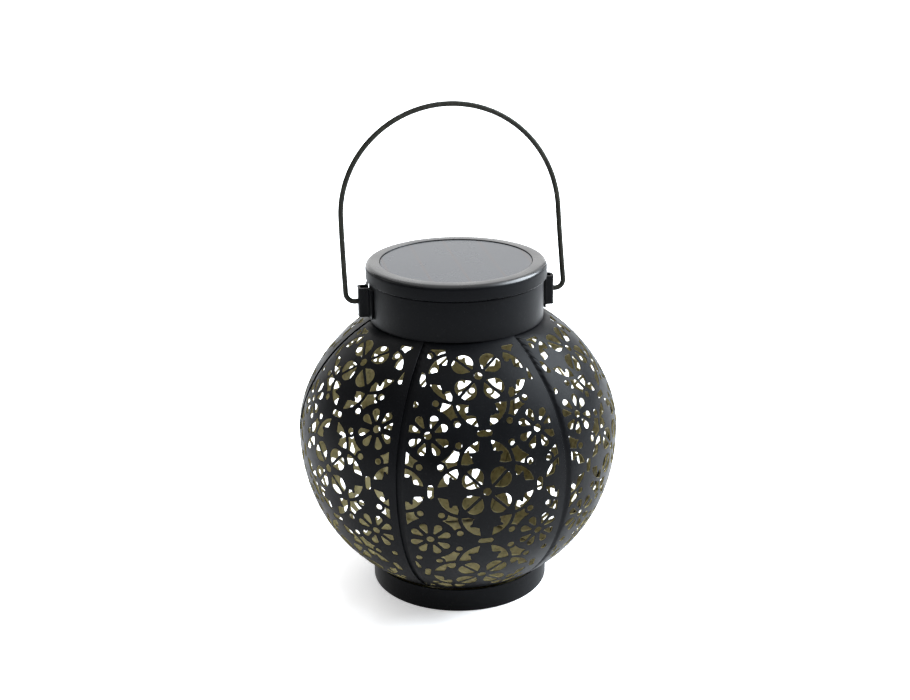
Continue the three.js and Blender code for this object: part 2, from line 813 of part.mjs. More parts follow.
// A lacquered barrel lying along X, on a wire bent down at both ends.
function inductor() {
  const barrelLength = 7;
  const legSpread = 4.4;
  const halfWire = 0.3;
  const rise = 1.9;
  const barrel = new THREE.CylinderGeometry(1.5, 1.5, barrelLength, 16).rotateZ(Math.PI / 2);
  const legs = [-legSpread, legSpread].map((x) =>
    block(x - halfWire, x + halfWire, -halfWire, halfWire, -rise, halfWire),
  );
  const end = legSpread + halfWire / 2;
  const wire = block(-end, end, -halfWire, halfWire, -halfWire, halfWire);
  return join(barrel, wire, ...legs).translate(-6, -20, partZ + rise);
}

addPiece(lid, "inductor", inductor(), 0x3f7f5b, 0.5, 0);

// A 5 mm light-emitting diode, dome down, with its two legs under the board.
function light() {
  const domeZ = 141.9;
  const flangeZ = 146.8;
  const flangeTopZ = 147.7;
  const legSpread = 1.27;
  const halfLeg = 0.25;
  const dome = [];
  for (let i = 0; i <= 5; i++) {
    const angle = (i / 5) * (Math.PI / 2);
    dome.push([LIGHT_RADIUS * Math.sin(angle), domeZ - LIGHT_RADIUS * Math.cos(angle)]);
  }
  const bulb = revolveSolid(
    [
      ...dome,
      [LIGHT_RADIUS, flangeZ],
      [LIGHT_FLANGE_RADIUS, flangeZ],
      [LIGHT_FLANGE_RADIUS, flangeTopZ],
      [0, flangeTopZ],
    ],
    20,
  );
  const legs = [-legSpread, legSpread].map((x) =>
    block(x - halfLeg, x + halfLeg, -halfLeg, halfLeg, flangeZ, BOARD_Z - PART_GAP),
  );
  return join(bulb, ...legs);
}

addPiece(lid, "led_lamp", light(), 0xf4efd8, 0.15, 0);

const SWITCH_HALF_LENGTH = 4.3;
const SWITCH_HALF_WIDTH = 2.2;
const switchBody = block(
  SWITCH_X - SWITCH_HALF_LENGTH,
  SWITCH_X + SWITCH_HALF_LENGTH,
  SWITCH_Y - SWITCH_HALF_WIDTH,
  SWITCH_Y + SWITCH_HALF_WIDTH,
  FLOOR_TOP_Z + 2 * PART_GAP,
  BOARD_Z - PART_GAP,
);
addPiece(lid, "switch_body", switchBody, 0xa9adb0, 0.4, 0.8);

// The slider stands at one end of its slot, with a ribbed grip under the housing floor.
function switchSlider() {
  const x = SWITCH_X - SWITCH_TRAVEL / 2;
  const halfStem = STEM_WIDTH / 2;
  const top = FLOOR_TOP_Z + PART_GAP;
  const gripHalfLength = 1.9;
  const gripHalfWidth = 1.4;
  const gripTop = FLOOR_Z - GAP;
  const gripBottom = gripTop - 1.5;
  const notchSpread = 0.9;
  const notchHalfWidth = 0.25;
  const notchDepth = 0.4;
  const stem = block(
    x - halfStem,
    x + halfStem,
    SWITCH_Y - halfStem,
    SWITCH_Y + halfStem,
    gripTop - WELD,
    top,
  );
  const grip = block(
    x - gripHalfLength,
    x + gripHalfLength,
    SWITCH_Y - gripHalfWidth,
    SWITCH_Y + gripHalfWidth,
    gripBottom,
    gripTop,
  );
  const notches = [x - notchSpread, x + notchSpread].map((middle) =>
    block(
      middle - notchHalfWidth,
      middle + notchHalfWidth,
      SWITCH_Y - gripHalfWidth - OVERRUN,
      SWITCH_Y + gripHalfWidth + OVERRUN,
      gripBottom - OVERRUN,
      gripBottom + notchDepth,
    ),
  );
  return cut(join(stem, grip), ...notches);
}

addPiece(lid, "switch_slider", switchSlider(), 0xe8e8e4, 0.5, 0);

// ---------------------------------------------------------------- leads

// A short insulated lead through the given points.
function lead(points) {
  const curve = new THREE.CatmullRomCurve3(points.map(([x, y, z]) => v3(x, y, z)));
  return rod(curve, LEAD_DIAMETER, 12, 6);
}

const LEADS = {
  panel_lead_positive: [0xa02820, [[5, -8, 159.3], [4, -10, 156], [5, -13, 153], [3, -12, partZ]]],
  panel_lead_negative: [0x1a1a1a, [[-5, -4, 159.3], [-4, -6, 156], [-7, -9, 153], [-5, -8, partZ]]],
  battery_lead_positive: [
    0xa02820,
    [[26.5, 13, 157.4], [26, 9, 158.5], [22, 1, 157], [17, -3, 153.5], [15, -5, partZ]],
  ],
  battery_lead_negative: [
    0x1a1a1a,
    [[-27.8, 11, 157.4], [-26, 7, 158.5], [-22, 1, 157], [-17, -3, 153.5], [-15, -5, partZ]],
  ],
};
for (const [name, [colour, points]] of Object.entries(LEADS)) {
  addPiece(lid, name, lead(points), colour, 0.6, 0);
}

// ---------------------------------------------------------------- battery door

// A flat door with a tongue that the door's screw goes through.
function batteryDoor() {
  const top = FLOOR_Z + DOOR_THICKNESS;
  const door = block(
    BAY_START_X + GAP,
    BAY_END_X - GAP,
    BATTERY_Y - BAY_HALF_WIDTH + GAP,
    BATTERY_Y + BAY_HALF_WIDTH - GAP,
    FLOOR_Z,
    top,
  );
  const tongue = block(
    BAY_END_X - GAP - WELD,
    TONGUE_END_X,
    BATTERY_Y - TONGUE_HALF_WIDTH,
    BATTERY_Y + TONGUE_HALF_WIDTH,
    FLOOR_Z,
    top,
  );
  const hole = post(DOOR_SCREW_X, BATTERY_Y, 1.25, FLOOR_Z - OVERRUN, top + OVERRUN, 12);
  return cut(join(door, tongue), hole);
}

addPiece(lid, "battery_door", batteryDoor(), 0x17181a, 0.5, 0);
const doorScrewZ = FLOOR_Z - STACK_GAP / 2 - SCREW_HEAD_HEIGHT;
const doorScrew = screw(DOOR_SCREW_X, BATTERY_Y, doorScrewZ, 2.1, 1, 6);
addPiece(lid, "door_screw", doorScrew, 0xb8bcc0, 0.3, 1);

export default lantern;
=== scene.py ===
"""Solar lantern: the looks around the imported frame.

The pierced globe, its collar, base ring, bail, ears and solar lid are fine meshes that stand for
their CAD nodes. What is hidden inside the lid keeps its CAD shape and gets a material.
Lengths in the sections below are millimetres until a mesh is made, and metres after that.
"""

import json
import math

import bmesh
import bpy
import numpy as np
from mathutils import Matrix, Vector
from mathutils.geometry import delaunay_2d_cdt


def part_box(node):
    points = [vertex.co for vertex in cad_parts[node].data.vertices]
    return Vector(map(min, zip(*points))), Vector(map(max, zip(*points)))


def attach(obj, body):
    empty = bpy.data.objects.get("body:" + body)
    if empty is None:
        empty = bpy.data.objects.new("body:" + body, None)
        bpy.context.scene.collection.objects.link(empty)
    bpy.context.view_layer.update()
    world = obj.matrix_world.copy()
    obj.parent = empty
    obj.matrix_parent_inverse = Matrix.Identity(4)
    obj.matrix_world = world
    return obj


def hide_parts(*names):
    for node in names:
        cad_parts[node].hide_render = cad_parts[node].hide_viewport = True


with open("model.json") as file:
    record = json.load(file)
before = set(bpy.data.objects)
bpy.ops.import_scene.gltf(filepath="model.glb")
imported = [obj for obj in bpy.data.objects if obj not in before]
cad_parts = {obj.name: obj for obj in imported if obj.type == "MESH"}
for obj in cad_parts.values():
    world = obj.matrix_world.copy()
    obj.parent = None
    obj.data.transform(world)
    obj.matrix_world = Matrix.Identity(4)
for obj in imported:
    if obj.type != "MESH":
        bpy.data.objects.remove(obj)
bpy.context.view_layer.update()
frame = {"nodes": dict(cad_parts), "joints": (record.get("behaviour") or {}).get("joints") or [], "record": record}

MM = 0.001
TAU = 2 * math.pi
GAP = 0.3  # between pieces that touch on the real lantern
SKIN = 0.02  # how far inside its CAD node's box a piece stays


# ------------------------------------------------------------------ sizes from the frame

def box_mm(node):
    """A node's lowest and highest corners, in millimetres."""
    low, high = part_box(node)
    return low / MM, high / MM


# ------------------------------------------------------------------ filigree: the flat pattern

# The pattern is drawn on the flat sheet of one gore: x across from its middle, y along the sheet
# from the equator. A shape is a field over the sheet, negative inside it and positive outside.

PITCH_X = 25.25
PITCH_Y = 26.5
COLUMN_X = 0.7  # the column of large daisies nearest the gore's middle
ROW_Y = -2.0  # the row that holds the large daisy nearest the equator

# A daisy has eight petals, in pairs that share a bar along each diagonal
LARGE_DAISY = {
    "start": 3.6,
    "tip": 0.35,
    "middle": 9.1,
    "width": 8.5,
    "turn": math.radians(6.9),
    "half_bar": 0.58,
    "hub_hole": 2.0,
    "rim": 2.0,
}
SMALL_DAISY = {
    "start": 3.6,
    "tip": 0.6,
    "middle": 8.0,
    "width": 3.9,
    "turn": math.radians(20),
    "half_bar": 0.45,
    "hub_hole": 1.9,
    "rim": 1.2,
}
SMALL_DAISY_RADIUS = 12.6
LINK_SLOT = (3.6, 1.5)  # half length and half width of the slot in the middle of a link
ARC_RADIUS = 12.3
ARC_OFFSET = 14.3  # from a link's middle to the middle of the arc beside it
ARC_WIDTH = 1.45

# A star sits inside each arc. Distances are from the link's middle unless they say otherwise.
STAR_OFFSET = 10.8
STAR_RADIUS = 3.6
STAR_TIP = (8.9, 7.0)  # along the arc's direction and across
STAR_TIP_RADIUS = 0.6
STAR_TIP_ROOT = 2.4
STAR_CHEEK_OFFSET, STAR_CHEEK_RADIUS = 3.4, 3.0  # the round on either side, from the star's middle
STAR_STEM_END = 8.0
STAR_STEM_RADIUS = 3.2
STAR_POINT_RADIUS = 1.4  # where it runs into the daisy's middle

# A kite reaches from a link to the small daisy on either side
LINK_RADIUS = 1.9
KITE_NECK, KITE_NECK_RADIUS = 7.5, 2.0
KITE_BODY, KITE_BODY_RADIUS = 11.5, 3.3
EYELET_PLACE = (4.8, 11.9)  # from a link's middle, towards its arc and towards its kite
EYELET_RADIUS = 1.65
EYELET_RIM = 1.15


def disc(x, y, middle, radius):
    return np.hypot(x - middle[0], y - middle[1]) - radius


def circle_line(x, y, middle, radius, width):
    return np.abs(disc(x, y, middle, radius)) - width / 2


def tapered_bar(x, y, start, end, start_radius, end_radius):
    """A bar between two round ends of different radii, whose sides are tangent to both."""
    length = math.dist(start, end)
    unit_x, unit_y = (end[0] - start[0]) / length, (end[1] - start[1]) / length
    forward = (x - start[0]) * unit_x + (y - start[1]) * unit_y
    sideways = np.abs((y - start[1]) * unit_x - (x - start[0]) * unit_y)
    lean = (start_radius - end_radius) / length
    upright = math.sqrt(1 - lean**2)
    place = forward * upright - sideways * lean
    beside = sideways * upright + forward * lean - start_radius
    near_start = np.hypot(forward, sideways) - start_radius
    near_end = np.hypot(forward - length, sideways) - end_radius
    return np.where(place < 0, near_start, np.where(place > upright * length, near_end, beside))


def bar(x, y, start, end, width):
    return tapered_bar(x, y, start, end, width / 2, width / 2)


def along(middle, angle, distance):
    """The point at a distance and an angle from another point."""
    return middle[0] + distance * math.cos(angle), middle[1] + distance * math.sin(angle)


def petal(x, y, hub, diagonal, side, daisy, rim=0.0):
    """The drop shape on one side of a diagonal. With a rim it is larger all round."""
    angle = diagonal + side * daisy["turn"]
    inner = along(hub, angle, daisy["start"] + daisy["tip"])
    outer = along(hub, angle, daisy["middle"])
    drop = tapered_bar(x, y, inner, outer, daisy["tip"] + rim, daisy["width"] / 2 + rim)
    off_diagonal = side * ((y - hub[1]) * math.cos(diagonal) - (x - hub[0]) * math.sin(diagonal))
    return np.maximum(drop, daisy["half_bar"] - rim - off_diagonal)


def petals():
    """The diagonal and the side of each of a daisy's eight petals."""
    for quarter in range(4):
        for side in (-1, 1):
            yield (quarter + 0.5) * TAU / 4, side


NO_METAL = 9.0  # the field where no shape has been added


class Sheet:
    """The metal left on the sheet after shapes are added to it and cut from it."""

    def __init__(self, x, y):
        self.x = x
        self.y = y
        self.field = np.full(x.shape, NO_METAL)

    def add(self, shape, *args):
        self.field = np.minimum(self.field, shape(self.x, self.y, *args))

    def cut(self, shape, *args):
        self.field = np.maximum(self.field, -shape(self.x, self.y, *args))


def draw_daisy(sheet, hub, daisy):
    """The solid middle of a daisy and a rim around each petal."""
    sheet.add(disc, hub, daisy["middle"])
    if daisy is SMALL_DAISY:
        sheet.add(disc, hub, SMALL_DAISY_RADIUS)
    for diagonal, side in petals():
        sheet.add(petal, hub, diagonal, side, daisy, daisy["rim"])


def cut_daisy(sheet, hub, daisy):
    for diagonal, side in petals():
        sheet.cut(petal, hub, diagonal, side, daisy)
    sheet.cut(disc, hub, daisy["hub_hole"])


def draw_star(sheet, link, direction):
    """The solid star inside an arc, on its stem from the link to the daisy."""
    star = along(link, direction, STAR_OFFSET)
    stem_end = along(link, direction, STAR_STEM_END)
    daisy_hub = along(link, direction, PITCH_X)
    sheet.add(tapered_bar, link, stem_end, LINK_RADIUS, STAR_STEM_RADIUS)
    sheet.add(tapered_bar, star, daisy_hub, STAR_RADIUS, STAR_POINT_RADIUS)
    tip_along, tip_across = STAR_TIP
    for side in (direction - TAU / 4, direction + TAU / 4):
        tip = along(along(link, direction, tip_along), side, tip_across)
        sheet.add(tapered_bar, star, tip, STAR_TIP_ROOT, STAR_TIP_RADIUS)
        sheet.add(disc, along(star, side, STAR_CHEEK_OFFSET), STAR_CHEEK_RADIUS)


def draw_link(sheet, middle, angle):
    """A link between two large daisies, with an arc and a star on either side of its slot.

    Across the slot, a kite reaches from the link to the small daisy on either side.
    """
    arc_directions = (angle, angle + math.pi)
    kite_directions = (angle - TAU / 4, angle + TAU / 4)
    for direction in arc_directions:
        sheet.add(circle_line, along(middle, direction, ARC_OFFSET), ARC_RADIUS, ARC_WIDTH)
        draw_star(sheet, middle, direction)
    for direction in kite_directions:
        neck = along(middle, direction, KITE_NECK)
        body = along(middle, direction, KITE_BODY)
        sheet.add(tapered_bar, middle, neck, LINK_RADIUS, KITE_NECK_RADIUS)
        sheet.add(tapered_bar, neck, body, KITE_NECK_RADIUS, KITE_BODY_RADIUS)
    for eyelet in eyelets(middle, angle):
        sheet.add(disc, eyelet, EYELET_RADIUS + EYELET_RIM)


def eyelets(middle, angle):
    """The middles of the four small round holes around a link."""
    towards_arc, towards_kite = EYELET_PLACE
    for direction in (angle, angle + math.pi):
        for side in (angle - TAU / 4, angle + TAU / 4):
            yield along(along(middle, direction, towards_arc), side, towards_kite)


def cut_link(sheet, middle, angle):
    half_length, half_width = LINK_SLOT
    reach = half_length - half_width
    start = along(middle, angle + TAU / 4, reach)
    end = along(middle, angle - TAU / 4, reach)
    sheet.cut(bar, start, end, 2 * half_width)
    for eyelet in eyelets(middle, angle):
        sheet.cut(disc, eyelet, EYELET_RADIUS)


def pattern_parts():
    """For each daisy and link: how it is drawn and cut, its middle, and its kind or its angle."""
    for column in range(-2, 3):
        for row in range(-3, 4):
            middle = (COLUMN_X + column * PITCH_X, ROW_Y + row * PITCH_Y)
            wide = column % 2 == 0
            tall = row % 2 == 0
            if wide != tall:
                yield draw_link, cut_link, middle, 0 if tall else TAU / 4
            else:
                yield draw_daisy, cut_daisy, middle, LARGE_DAISY if wide else SMALL_DAISY


def draw_pattern(x, y):
    """The field of the whole pattern, before it is trimmed to the gore's border."""
    sheet = Sheet(x, y)
    parts = list(pattern_parts())
    for draw, _, middle, detail in parts:
        draw(sheet, middle, detail)
    for _, cut, middle, detail in parts:
        cut(sheet, middle, detail)
    return sheet.field


# ------------------------------------------------------------------ filigree: from field to mesh

GORES = 6
FIRST_SEAM_DEG = -1.6
HALF_GORE = math.radians(180 / GORES)
SEAM_CLEARANCE = math.radians(0.25)
LAP = math.radians(2.7)  # how far a gore's lip reaches under its neighbour
STEP_START = math.radians(2.6)  # where the step down to the lip starts, from the seam
STEP_END = math.radians(0.7)
SHEET = 0.6
SEAM_BORDER = 3.9  # plain metal beside a seam
PATTERN_TOP = 65.0
PATTERN_BOTTOM = -73.5
ROW_BOW = 0.4  # how much a straight row of the flat sheet bows on the bent one, away from its middle
EDGE_BEVEL = 0.12

EQUATOR_Z = 81.0
CROWN_HEIGHT, CROWN_POWER = 68.0, 1.86
BOWL_HEIGHT, BOWL_POWER = 80.0, 2.13

GRID = 0.3  # spacing of the field's samples
OUTLINE_TOLERANCE = 0.035
SMALLEST_HOLE = 2.2  # square millimetres
THINNEST_HOLE = 1.15  # twice a hole's area over the length of its edge
FILL_SPACING = 3.6  # spacing of the points inside the metal, which carry its curve
EDGE_ROW = 1.2  # from the seam to the row of points beside the free edge
HOLE_MARGIN = 1.12  # points keep out of a hole grown by this much
GLOBE_SKIN = 0.06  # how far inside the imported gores' box the round globe stays


def globe_radius():
    """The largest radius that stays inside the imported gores' box."""
    reach = []
    for index in range(GORES):
        low, high = box_mm(f"gore_{index + 1}")
        reach.append(max(-low.x, high.x))
    return max(reach) - GLOBE_SKIN


class Profile:
    """The globe's outline: radius, height and outward normal at a distance along the sheet."""

    def __init__(self, radius, bottom_z, top_z):
        crown = np.linspace(0, TAU / 4, 4000)
        bowl = -crown[:0:-1]
        latitude = np.concatenate([bowl, crown])
        power = np.where(latitude < 0, BOWL_POWER, CROWN_POWER)
        height = np.where(latitude < 0, BOWL_HEIGHT, CROWN_HEIGHT)
        rise = height * np.abs(np.sin(latitude)) ** (2 / power)
        self.r = radius * np.cos(latitude).clip(0, 1) ** (2 / power)
        self.z = EQUATOR_Z + np.sign(latitude) * rise
        step = np.hypot(np.diff(self.r), np.diff(self.z))
        run = np.concatenate([[0], np.cumsum(step)])
        self.y = run - np.interp(0, latitude, run)
        slope_r = np.gradient(self.r, self.y)
        slope_z = np.gradient(self.z, self.y)
        self.normal_r = slope_z
        self.normal_z = -slope_r
        self.bottom = float(np.interp(bottom_z, self.z, self.y))
        self.top = float(np.interp(top_z, self.z, self.y))

    def radius_at(self, y):
        return np.interp(y, self.y, self.r)

    def place(self, x, y, depth, middle):
        """Flat points to space, a depth below the outer surface, round a gore's middle."""
        angle = middle + x / self.radius_at(y)
        r = self.radius_at(y) - depth * np.interp(y, self.y, self.normal_r)
        z = np.interp(y, self.y, self.z) - depth * np.interp(y, self.y, self.normal_z)
        return np.stack([r * np.cos(angle), r * np.sin(angle), z], axis=-1)


def soften(field):
    """Averages each sample with its neighbours, which rounds the corners of the shapes."""
    for axis in (0, 1):
        ahead = np.roll(field, 1, axis)
        behind = np.roll(field, -1, axis)
        field = (ahead + 2 * field + behind) / 4
    return field


# For each mix of corners in the metal, the cell sides that the outline enters and leaves by.
# Corners count 1, 2, 4, 8 anticlockwise from the lower left, and metal lies to the left.
CELL_PATHS = {
    1: ["BL"], 2: ["RB"], 3: ["RL"], 4: ["TR"], 5: ["TL", "BR"], 6: ["TB"], 7: ["TL"],
    8: ["LT"], 9: ["BT"], 10: ["LB", "RT"], 11: ["RT"], 12: ["LR"], 13: ["BR"], 14: ["LB"],
}


def outlines(field, xs, ys):
    """The closed outlines of the metal, as lists of points, with the metal to the left."""
    metal = field < 0
    corners = metal[:-1, :-1] + 2 * metal[:-1, 1:] + 4 * metal[1:, 1:] + 8 * metal[1:, :-1]
    following = {}
    for row, column in np.argwhere((corners > 0) & (corners < 15)):
        sides = {
            "B": (0, row, column),
            "T": (0, row + 1, column),
            "L": (1, row, column),
            "R": (1, row, column + 1),
        }
        for enter, leave in CELL_PATHS[int(corners[row, column])]:
            following[sides[enter]] = sides[leave]

    def crossing(side):
        upright, row, column = side
        other = (row + 1, column) if upright else (row, column + 1)
        here, there = field[row, column], field[other]
        share = here / (here - there)
        x = xs[column] + share * (xs[other[1]] - xs[column])
        y = ys[row] + share * (ys[other[0]] - ys[row])
        return float(x), float(y)

    loops = []
    while following:
        start, side = following.popitem()
        loop = [crossing(start)]
        while side != start:
            loop.append(crossing(side))
            side = following.pop(side)
        loops.append(np.array(loop))
    return loops


def area_of(loop):
    x, y = loop[:, 0], loop[:, 1]
    return 0.5 * float(np.sum(x * np.roll(y, -1) - y * np.roll(x, -1)))


def length_of(loop):
    return np.hypot(*(loop - np.roll(loop, 1, axis=0)).T).sum()


def thinned(loop, tolerance):
    """The loop without the points that lie close to the line between those kept."""
    kept = [0]
    count = len(loop)
    reach = 2
    while kept[-1] + reach <= count:
        start = loop[kept[-1]]
        end = loop[(kept[-1] + reach) % count]
        between = loop[kept[-1] + 1 : kept[-1] + reach] - start
        line = end - start
        length = max(np.hypot(*line), 1e-9)
        off = np.abs(between[:, 0] * line[1] - between[:, 1] * line[0]) / length
        if off.max() > tolerance:
            kept.append(kept[-1] + reach - 1)
            reach = 2
        else:
            reach += 1
    return loop[kept]


def inside(points, loop):
    """Which of the points lie inside the loop."""
    low, high = loop.min(axis=0), loop.max(axis=0)
    near = np.all((points >= low) & (points <= high), axis=1)
    found = np.zeros(len(points), bool)
    x, y = points[near, 0], points[near, 1]
    crossings = np.zeros(len(x), int)
    for (x0, y0), (x1, y1) in zip(loop, np.roll(loop, -1, axis=0)):
        if y0 != y1:
            spans = (y0 > y) != (y1 > y)
            crossings += spans & (x < x0 + (y - y0) / (y1 - y0) * (x1 - x0))
    found[near] = crossings % 2 == 1
    return found


def gore_field(profile):
    """The field of one gore, with plain borders, and the coordinates of its samples."""
    reach = profile.r.max() * HALF_GORE + 1
    xs = np.arange(-reach, reach, GRID)
    ys = np.arange(profile.bottom, profile.top, GRID)
    x, y = np.meshgrid(xs, ys)
    half_width = profile.radius_at(y) * HALF_GORE - SEAM_BORDER
    bow = 1 + ROW_BOW * (x / profile.r.max()) ** 2
    field = draw_pattern(x, y * bow)
    for border in (half_width - np.abs(x), PATTERN_TOP - y, y - PATTERN_BOTTOM):
        field = np.minimum(field, border)
    return soften(field), xs, ys


def gore_holes(profile):
    field, xs, ys = gore_field(profile)
    holes = []
    for loop in outlines(field, xs, ys):
        area = -area_of(loop)
        if area > SMALLEST_HOLE and 2 * area / length_of(loop) > THINNEST_HOLE:
            holes.append(thinned(loop, OUTLINE_TOLERANCE))
    return holes


def gore_edges(profile):
    """The flat outline of a gore, anticlockwise, its lip on the side of -x."""
    ys = np.linspace(profile.bottom, profile.top, 70)
    radii = profile.radius_at(ys)
    right = np.stack([radii * (HALF_GORE - SEAM_CLEARANCE), ys], axis=-1)
    left = np.stack([-radii * (HALF_GORE + LAP), ys], axis=-1)
    return np.concatenate([right, left[::-1]])


def fill_points(profile, holes):
    """Points inside the metal: an even spread, and closer ones along the step to the lip."""
    spread = []
    rows = int((profile.top - profile.bottom) / FILL_SPACING)
    for row in range(1, rows):
        y = profile.bottom + row * (profile.top - profile.bottom) / rows
        radius = float(profile.radius_at(y))
        shift = FILL_SPACING / 2 if row % 2 else 0
        columns = int(radius * HALF_GORE / FILL_SPACING) + 1
        for column in range(-columns, columns + 1):
            x = column * FILL_SPACING + shift
            if abs(x) < radius * (HALF_GORE - STEP_START) - 1:
                spread.append((x, y))
        spread.append((radius * HALF_GORE - EDGE_ROW, y))
        for share in range(6):
            from_seam = STEP_START + (STEP_END - STEP_START) * share / 5
            spread.append((-radius * (HALF_GORE - from_seam), y))
        spread.append((-radius * (HALF_GORE + LAP / 2), y))
    points = np.array(spread)
    clear = np.ones(len(points), bool)
    for hole in holes:
        middle = hole.mean(axis=0)
        grown = middle + (hole - middle) * HOLE_MARGIN
        clear &= ~inside(points, hole) & ~inside(points, grown)
    return points[clear]


def triangulate(profile):
    """Flat points and the triangles between them that lie in the metal."""
    holes = gore_holes(profile)
    points = []
    edges = []
    for loop in [gore_edges(profile), *holes]:
        first = len(points)
        points += [Vector(p) for p in loop]
        count = len(loop)
        edges += [(first + i, first + (i + 1) % count) for i in range(count)]
    points += [Vector(p) for p in fill_points(profile, holes)]
    found = delaunay_2d_cdt(points, edges, [], 0, 1e-5, False)
    flat = np.array([tuple(p) for p in found[0]])
    triangles = np.array([face for face in found[2] if len(face) == 3])
    middles = flat[triangles].mean(axis=1)
    keep = inside(middles, gore_edges(profile))
    for hole in holes:
        keep &= ~inside(middles, hole)
    used, renumbered = np.unique(triangles[keep], return_inverse=True)
    return flat[used], renumbered.reshape(-1, 3)


def rim_edges(triangles):
    """The directed edges that belong to one triangle only: the outlines of the metal."""
    directed = {}
    for a, b, c in triangles.tolist():
        for edge in ((a, b), (b, c), (c, a)):
            directed[edge] = True
    return [edge for edge in directed if (edge[1], edge[0]) not in directed]


def lap_depth(profile, flat):
    """How far the sheet steps inwards at each flat point, to pass under the next gore."""
    angle = -flat[:, 0] / profile.radius_at(flat[:, 1])
    share = (angle - (HALF_GORE - STEP_START)) / (STEP_START - STEP_END)
    share = np.clip(share, 0, 1)
    return (SHEET + GAP) * share**2 * (3 - 2 * share)


class Gore:
    """The mesh of one gore in flat form, ready to be bent round any of the six places."""

    def __init__(self, profile):
        self.profile = profile
        self.flat, self.triangles = triangulate(profile)
        rims = rim_edges(self.triangles)
        outward = np.zeros_like(self.flat)
        for a, b in rims:
            run = self.flat[b] - self.flat[a]
            normal = np.array([run[1], -run[0]]) / max(np.hypot(*run), 1e-9)
            outward[a] += normal
            outward[b] += normal
        length = np.hypot(outward[:, 0], outward[:, 1])
        self.on_rim = length > 1e-9
        outward[self.on_rim] /= length[self.on_rim, None]
        self.bevelled = self.flat + EDGE_BEVEL * outward
        self.rims = rims

    def mesh_data(self, middle):
        """Vertices, faces, and for each face whether it is painted as the inside."""
        step = lap_depth(self.profile, self.flat)
        count = len(self.flat)
        rim_points = np.flatnonzero(self.on_rim)
        shoulder_index = {int(p): 2 * count + i for i, p in enumerate(rim_points)}
        x, y = self.flat.T
        bevel_x, bevel_y = self.bevelled.T
        outer = self.profile.place(x, y, step, middle)
        inner = self.profile.place(bevel_x, bevel_y, step + SHEET, middle)
        shoulder = self.profile.place(bevel_x, bevel_y, step + EDGE_BEVEL, middle)[rim_points]
        faces = [tuple(t) for t in self.triangles.tolist()]
        painted_inside = [False] * len(faces)
        pierced = np.abs(x) < self.profile.radius_at(y) * HALF_GORE - SEAM_BORDER / 2
        for a, b, c in self.triangles.tolist():
            faces.append((count + a, count + c, count + b))
            painted_inside.append(True)
        for a, b in self.rims:
            faces.append((b, a, shoulder_index[a], shoulder_index[b]))
            painted_inside.append(False)
            faces.append((shoulder_index[b], shoulder_index[a], count + a, count + b))
            painted_inside.append(bool(pierced[a]))
        return np.concatenate([outer, inner, shoulder]), faces, painted_inside


# ------------------------------------------------------------------ pieces

def add_object(name, data):
    thing = bpy.data.objects.new(name, data)
    bpy.context.scene.collection.objects.link(thing)
    return thing


def solid_mesh(name, vertices, faces):
    mesh = bpy.data.meshes.new(name)
    mesh.from_pydata((np.asarray(vertices) * MM).tolist(), [], faces)
    return mesh


def stand_for(piece, body, node):
    """Puts a piece on a body, in the place of a CAD node."""
    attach(piece, body)
    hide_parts(node)


def add_mesh(name, shape, body, node, slot, *materials):
    """A smooth-shaded piece from vertices in millimetres and faces."""
    mesh = solid_mesh(name, *shape)
    mesh.polygons.foreach_set("use_smooth", [True] * len(mesh.polygons))
    mesh.set_sharp_from_angle(angle=math.radians(32))
    for material in materials:
        mesh.materials.append(material)
    piece = add_object(name, mesh)
    stand_for(piece, body, node)
    return piece


def arc_points(middle, radius, start_deg, end_deg, count=8):
    points = []
    for i in range(count + 1):
        angle = math.radians(start_deg + (end_deg - start_deg) * i / count)
        points.append((middle[0] + radius * math.cos(angle), middle[1] + radius * math.sin(angle)))
    return points


def rounded(outline, radii, count=5):
    """A closed outline with each corner rounded to its radius. A radius of 0 keeps a corner."""
    corners = [Vector(p) for p in outline]
    points = []
    for i, (corner, radius) in enumerate(zip(corners, radii)):
        if radius == 0:
            points.append(tuple(corner))
            continue
        before = (corners[i - 1] - corner).normalized()
        after = (corners[(i + 1) % len(corners)] - corner).normalized()
        half = before.angle(after) / 2
        cut_back = radius / math.tan(half)
        centre = corner + (before + after).normalized() * radius / math.sin(half)
        start = corner + before * cut_back - centre
        end = corner + after * cut_back - centre
        turn = start.angle_signed(end)
        for step in range(count + 1):
            angle = -turn * step / count
            spoke = Vector((
                start.x * math.cos(angle) - start.y * math.sin(angle),
                start.x * math.sin(angle) + start.y * math.cos(angle),
            ))
            points.append(tuple(centre + spoke))
    return points


def ring_faces(first, second, count):
    """The faces between two rings of vertices, which start at these two indices."""
    for i in range(count):
        onward = (i + 1) % count
        yield first + i, first + onward, second + onward, second + i


def lathe(outline, sides=144):
    """A body of revolution about Z from (radius, z) points.

    The outline is closed, unless its two ends lie on the axis.
    """
    from_axis = abs(outline[0][0]) < 1e-9
    spun = outline[1:-1] if from_axis else outline
    count = len(spun)
    steps = count - 1 if from_axis else count
    vertices = []
    faces = []
    for side in range(sides):
        angle = TAU * side / sides
        vertices += [(r * math.cos(angle), r * math.sin(angle), z) for r, z in spun]
        here, there = side * count, (side + 1) % sides * count
        for i in range(steps):
            j = (i + 1) % count
            faces.append((here + i, there + i, there + j, here + j))
        if from_axis:
            faces.append((sides * count, there, here))
            faces.append((here + count - 1, there + count - 1, sides * count + 1))
    if from_axis:
        vertices += [(0, 0, outline[0][1]), (0, 0, outline[-1][1])]
    return vertices, faces


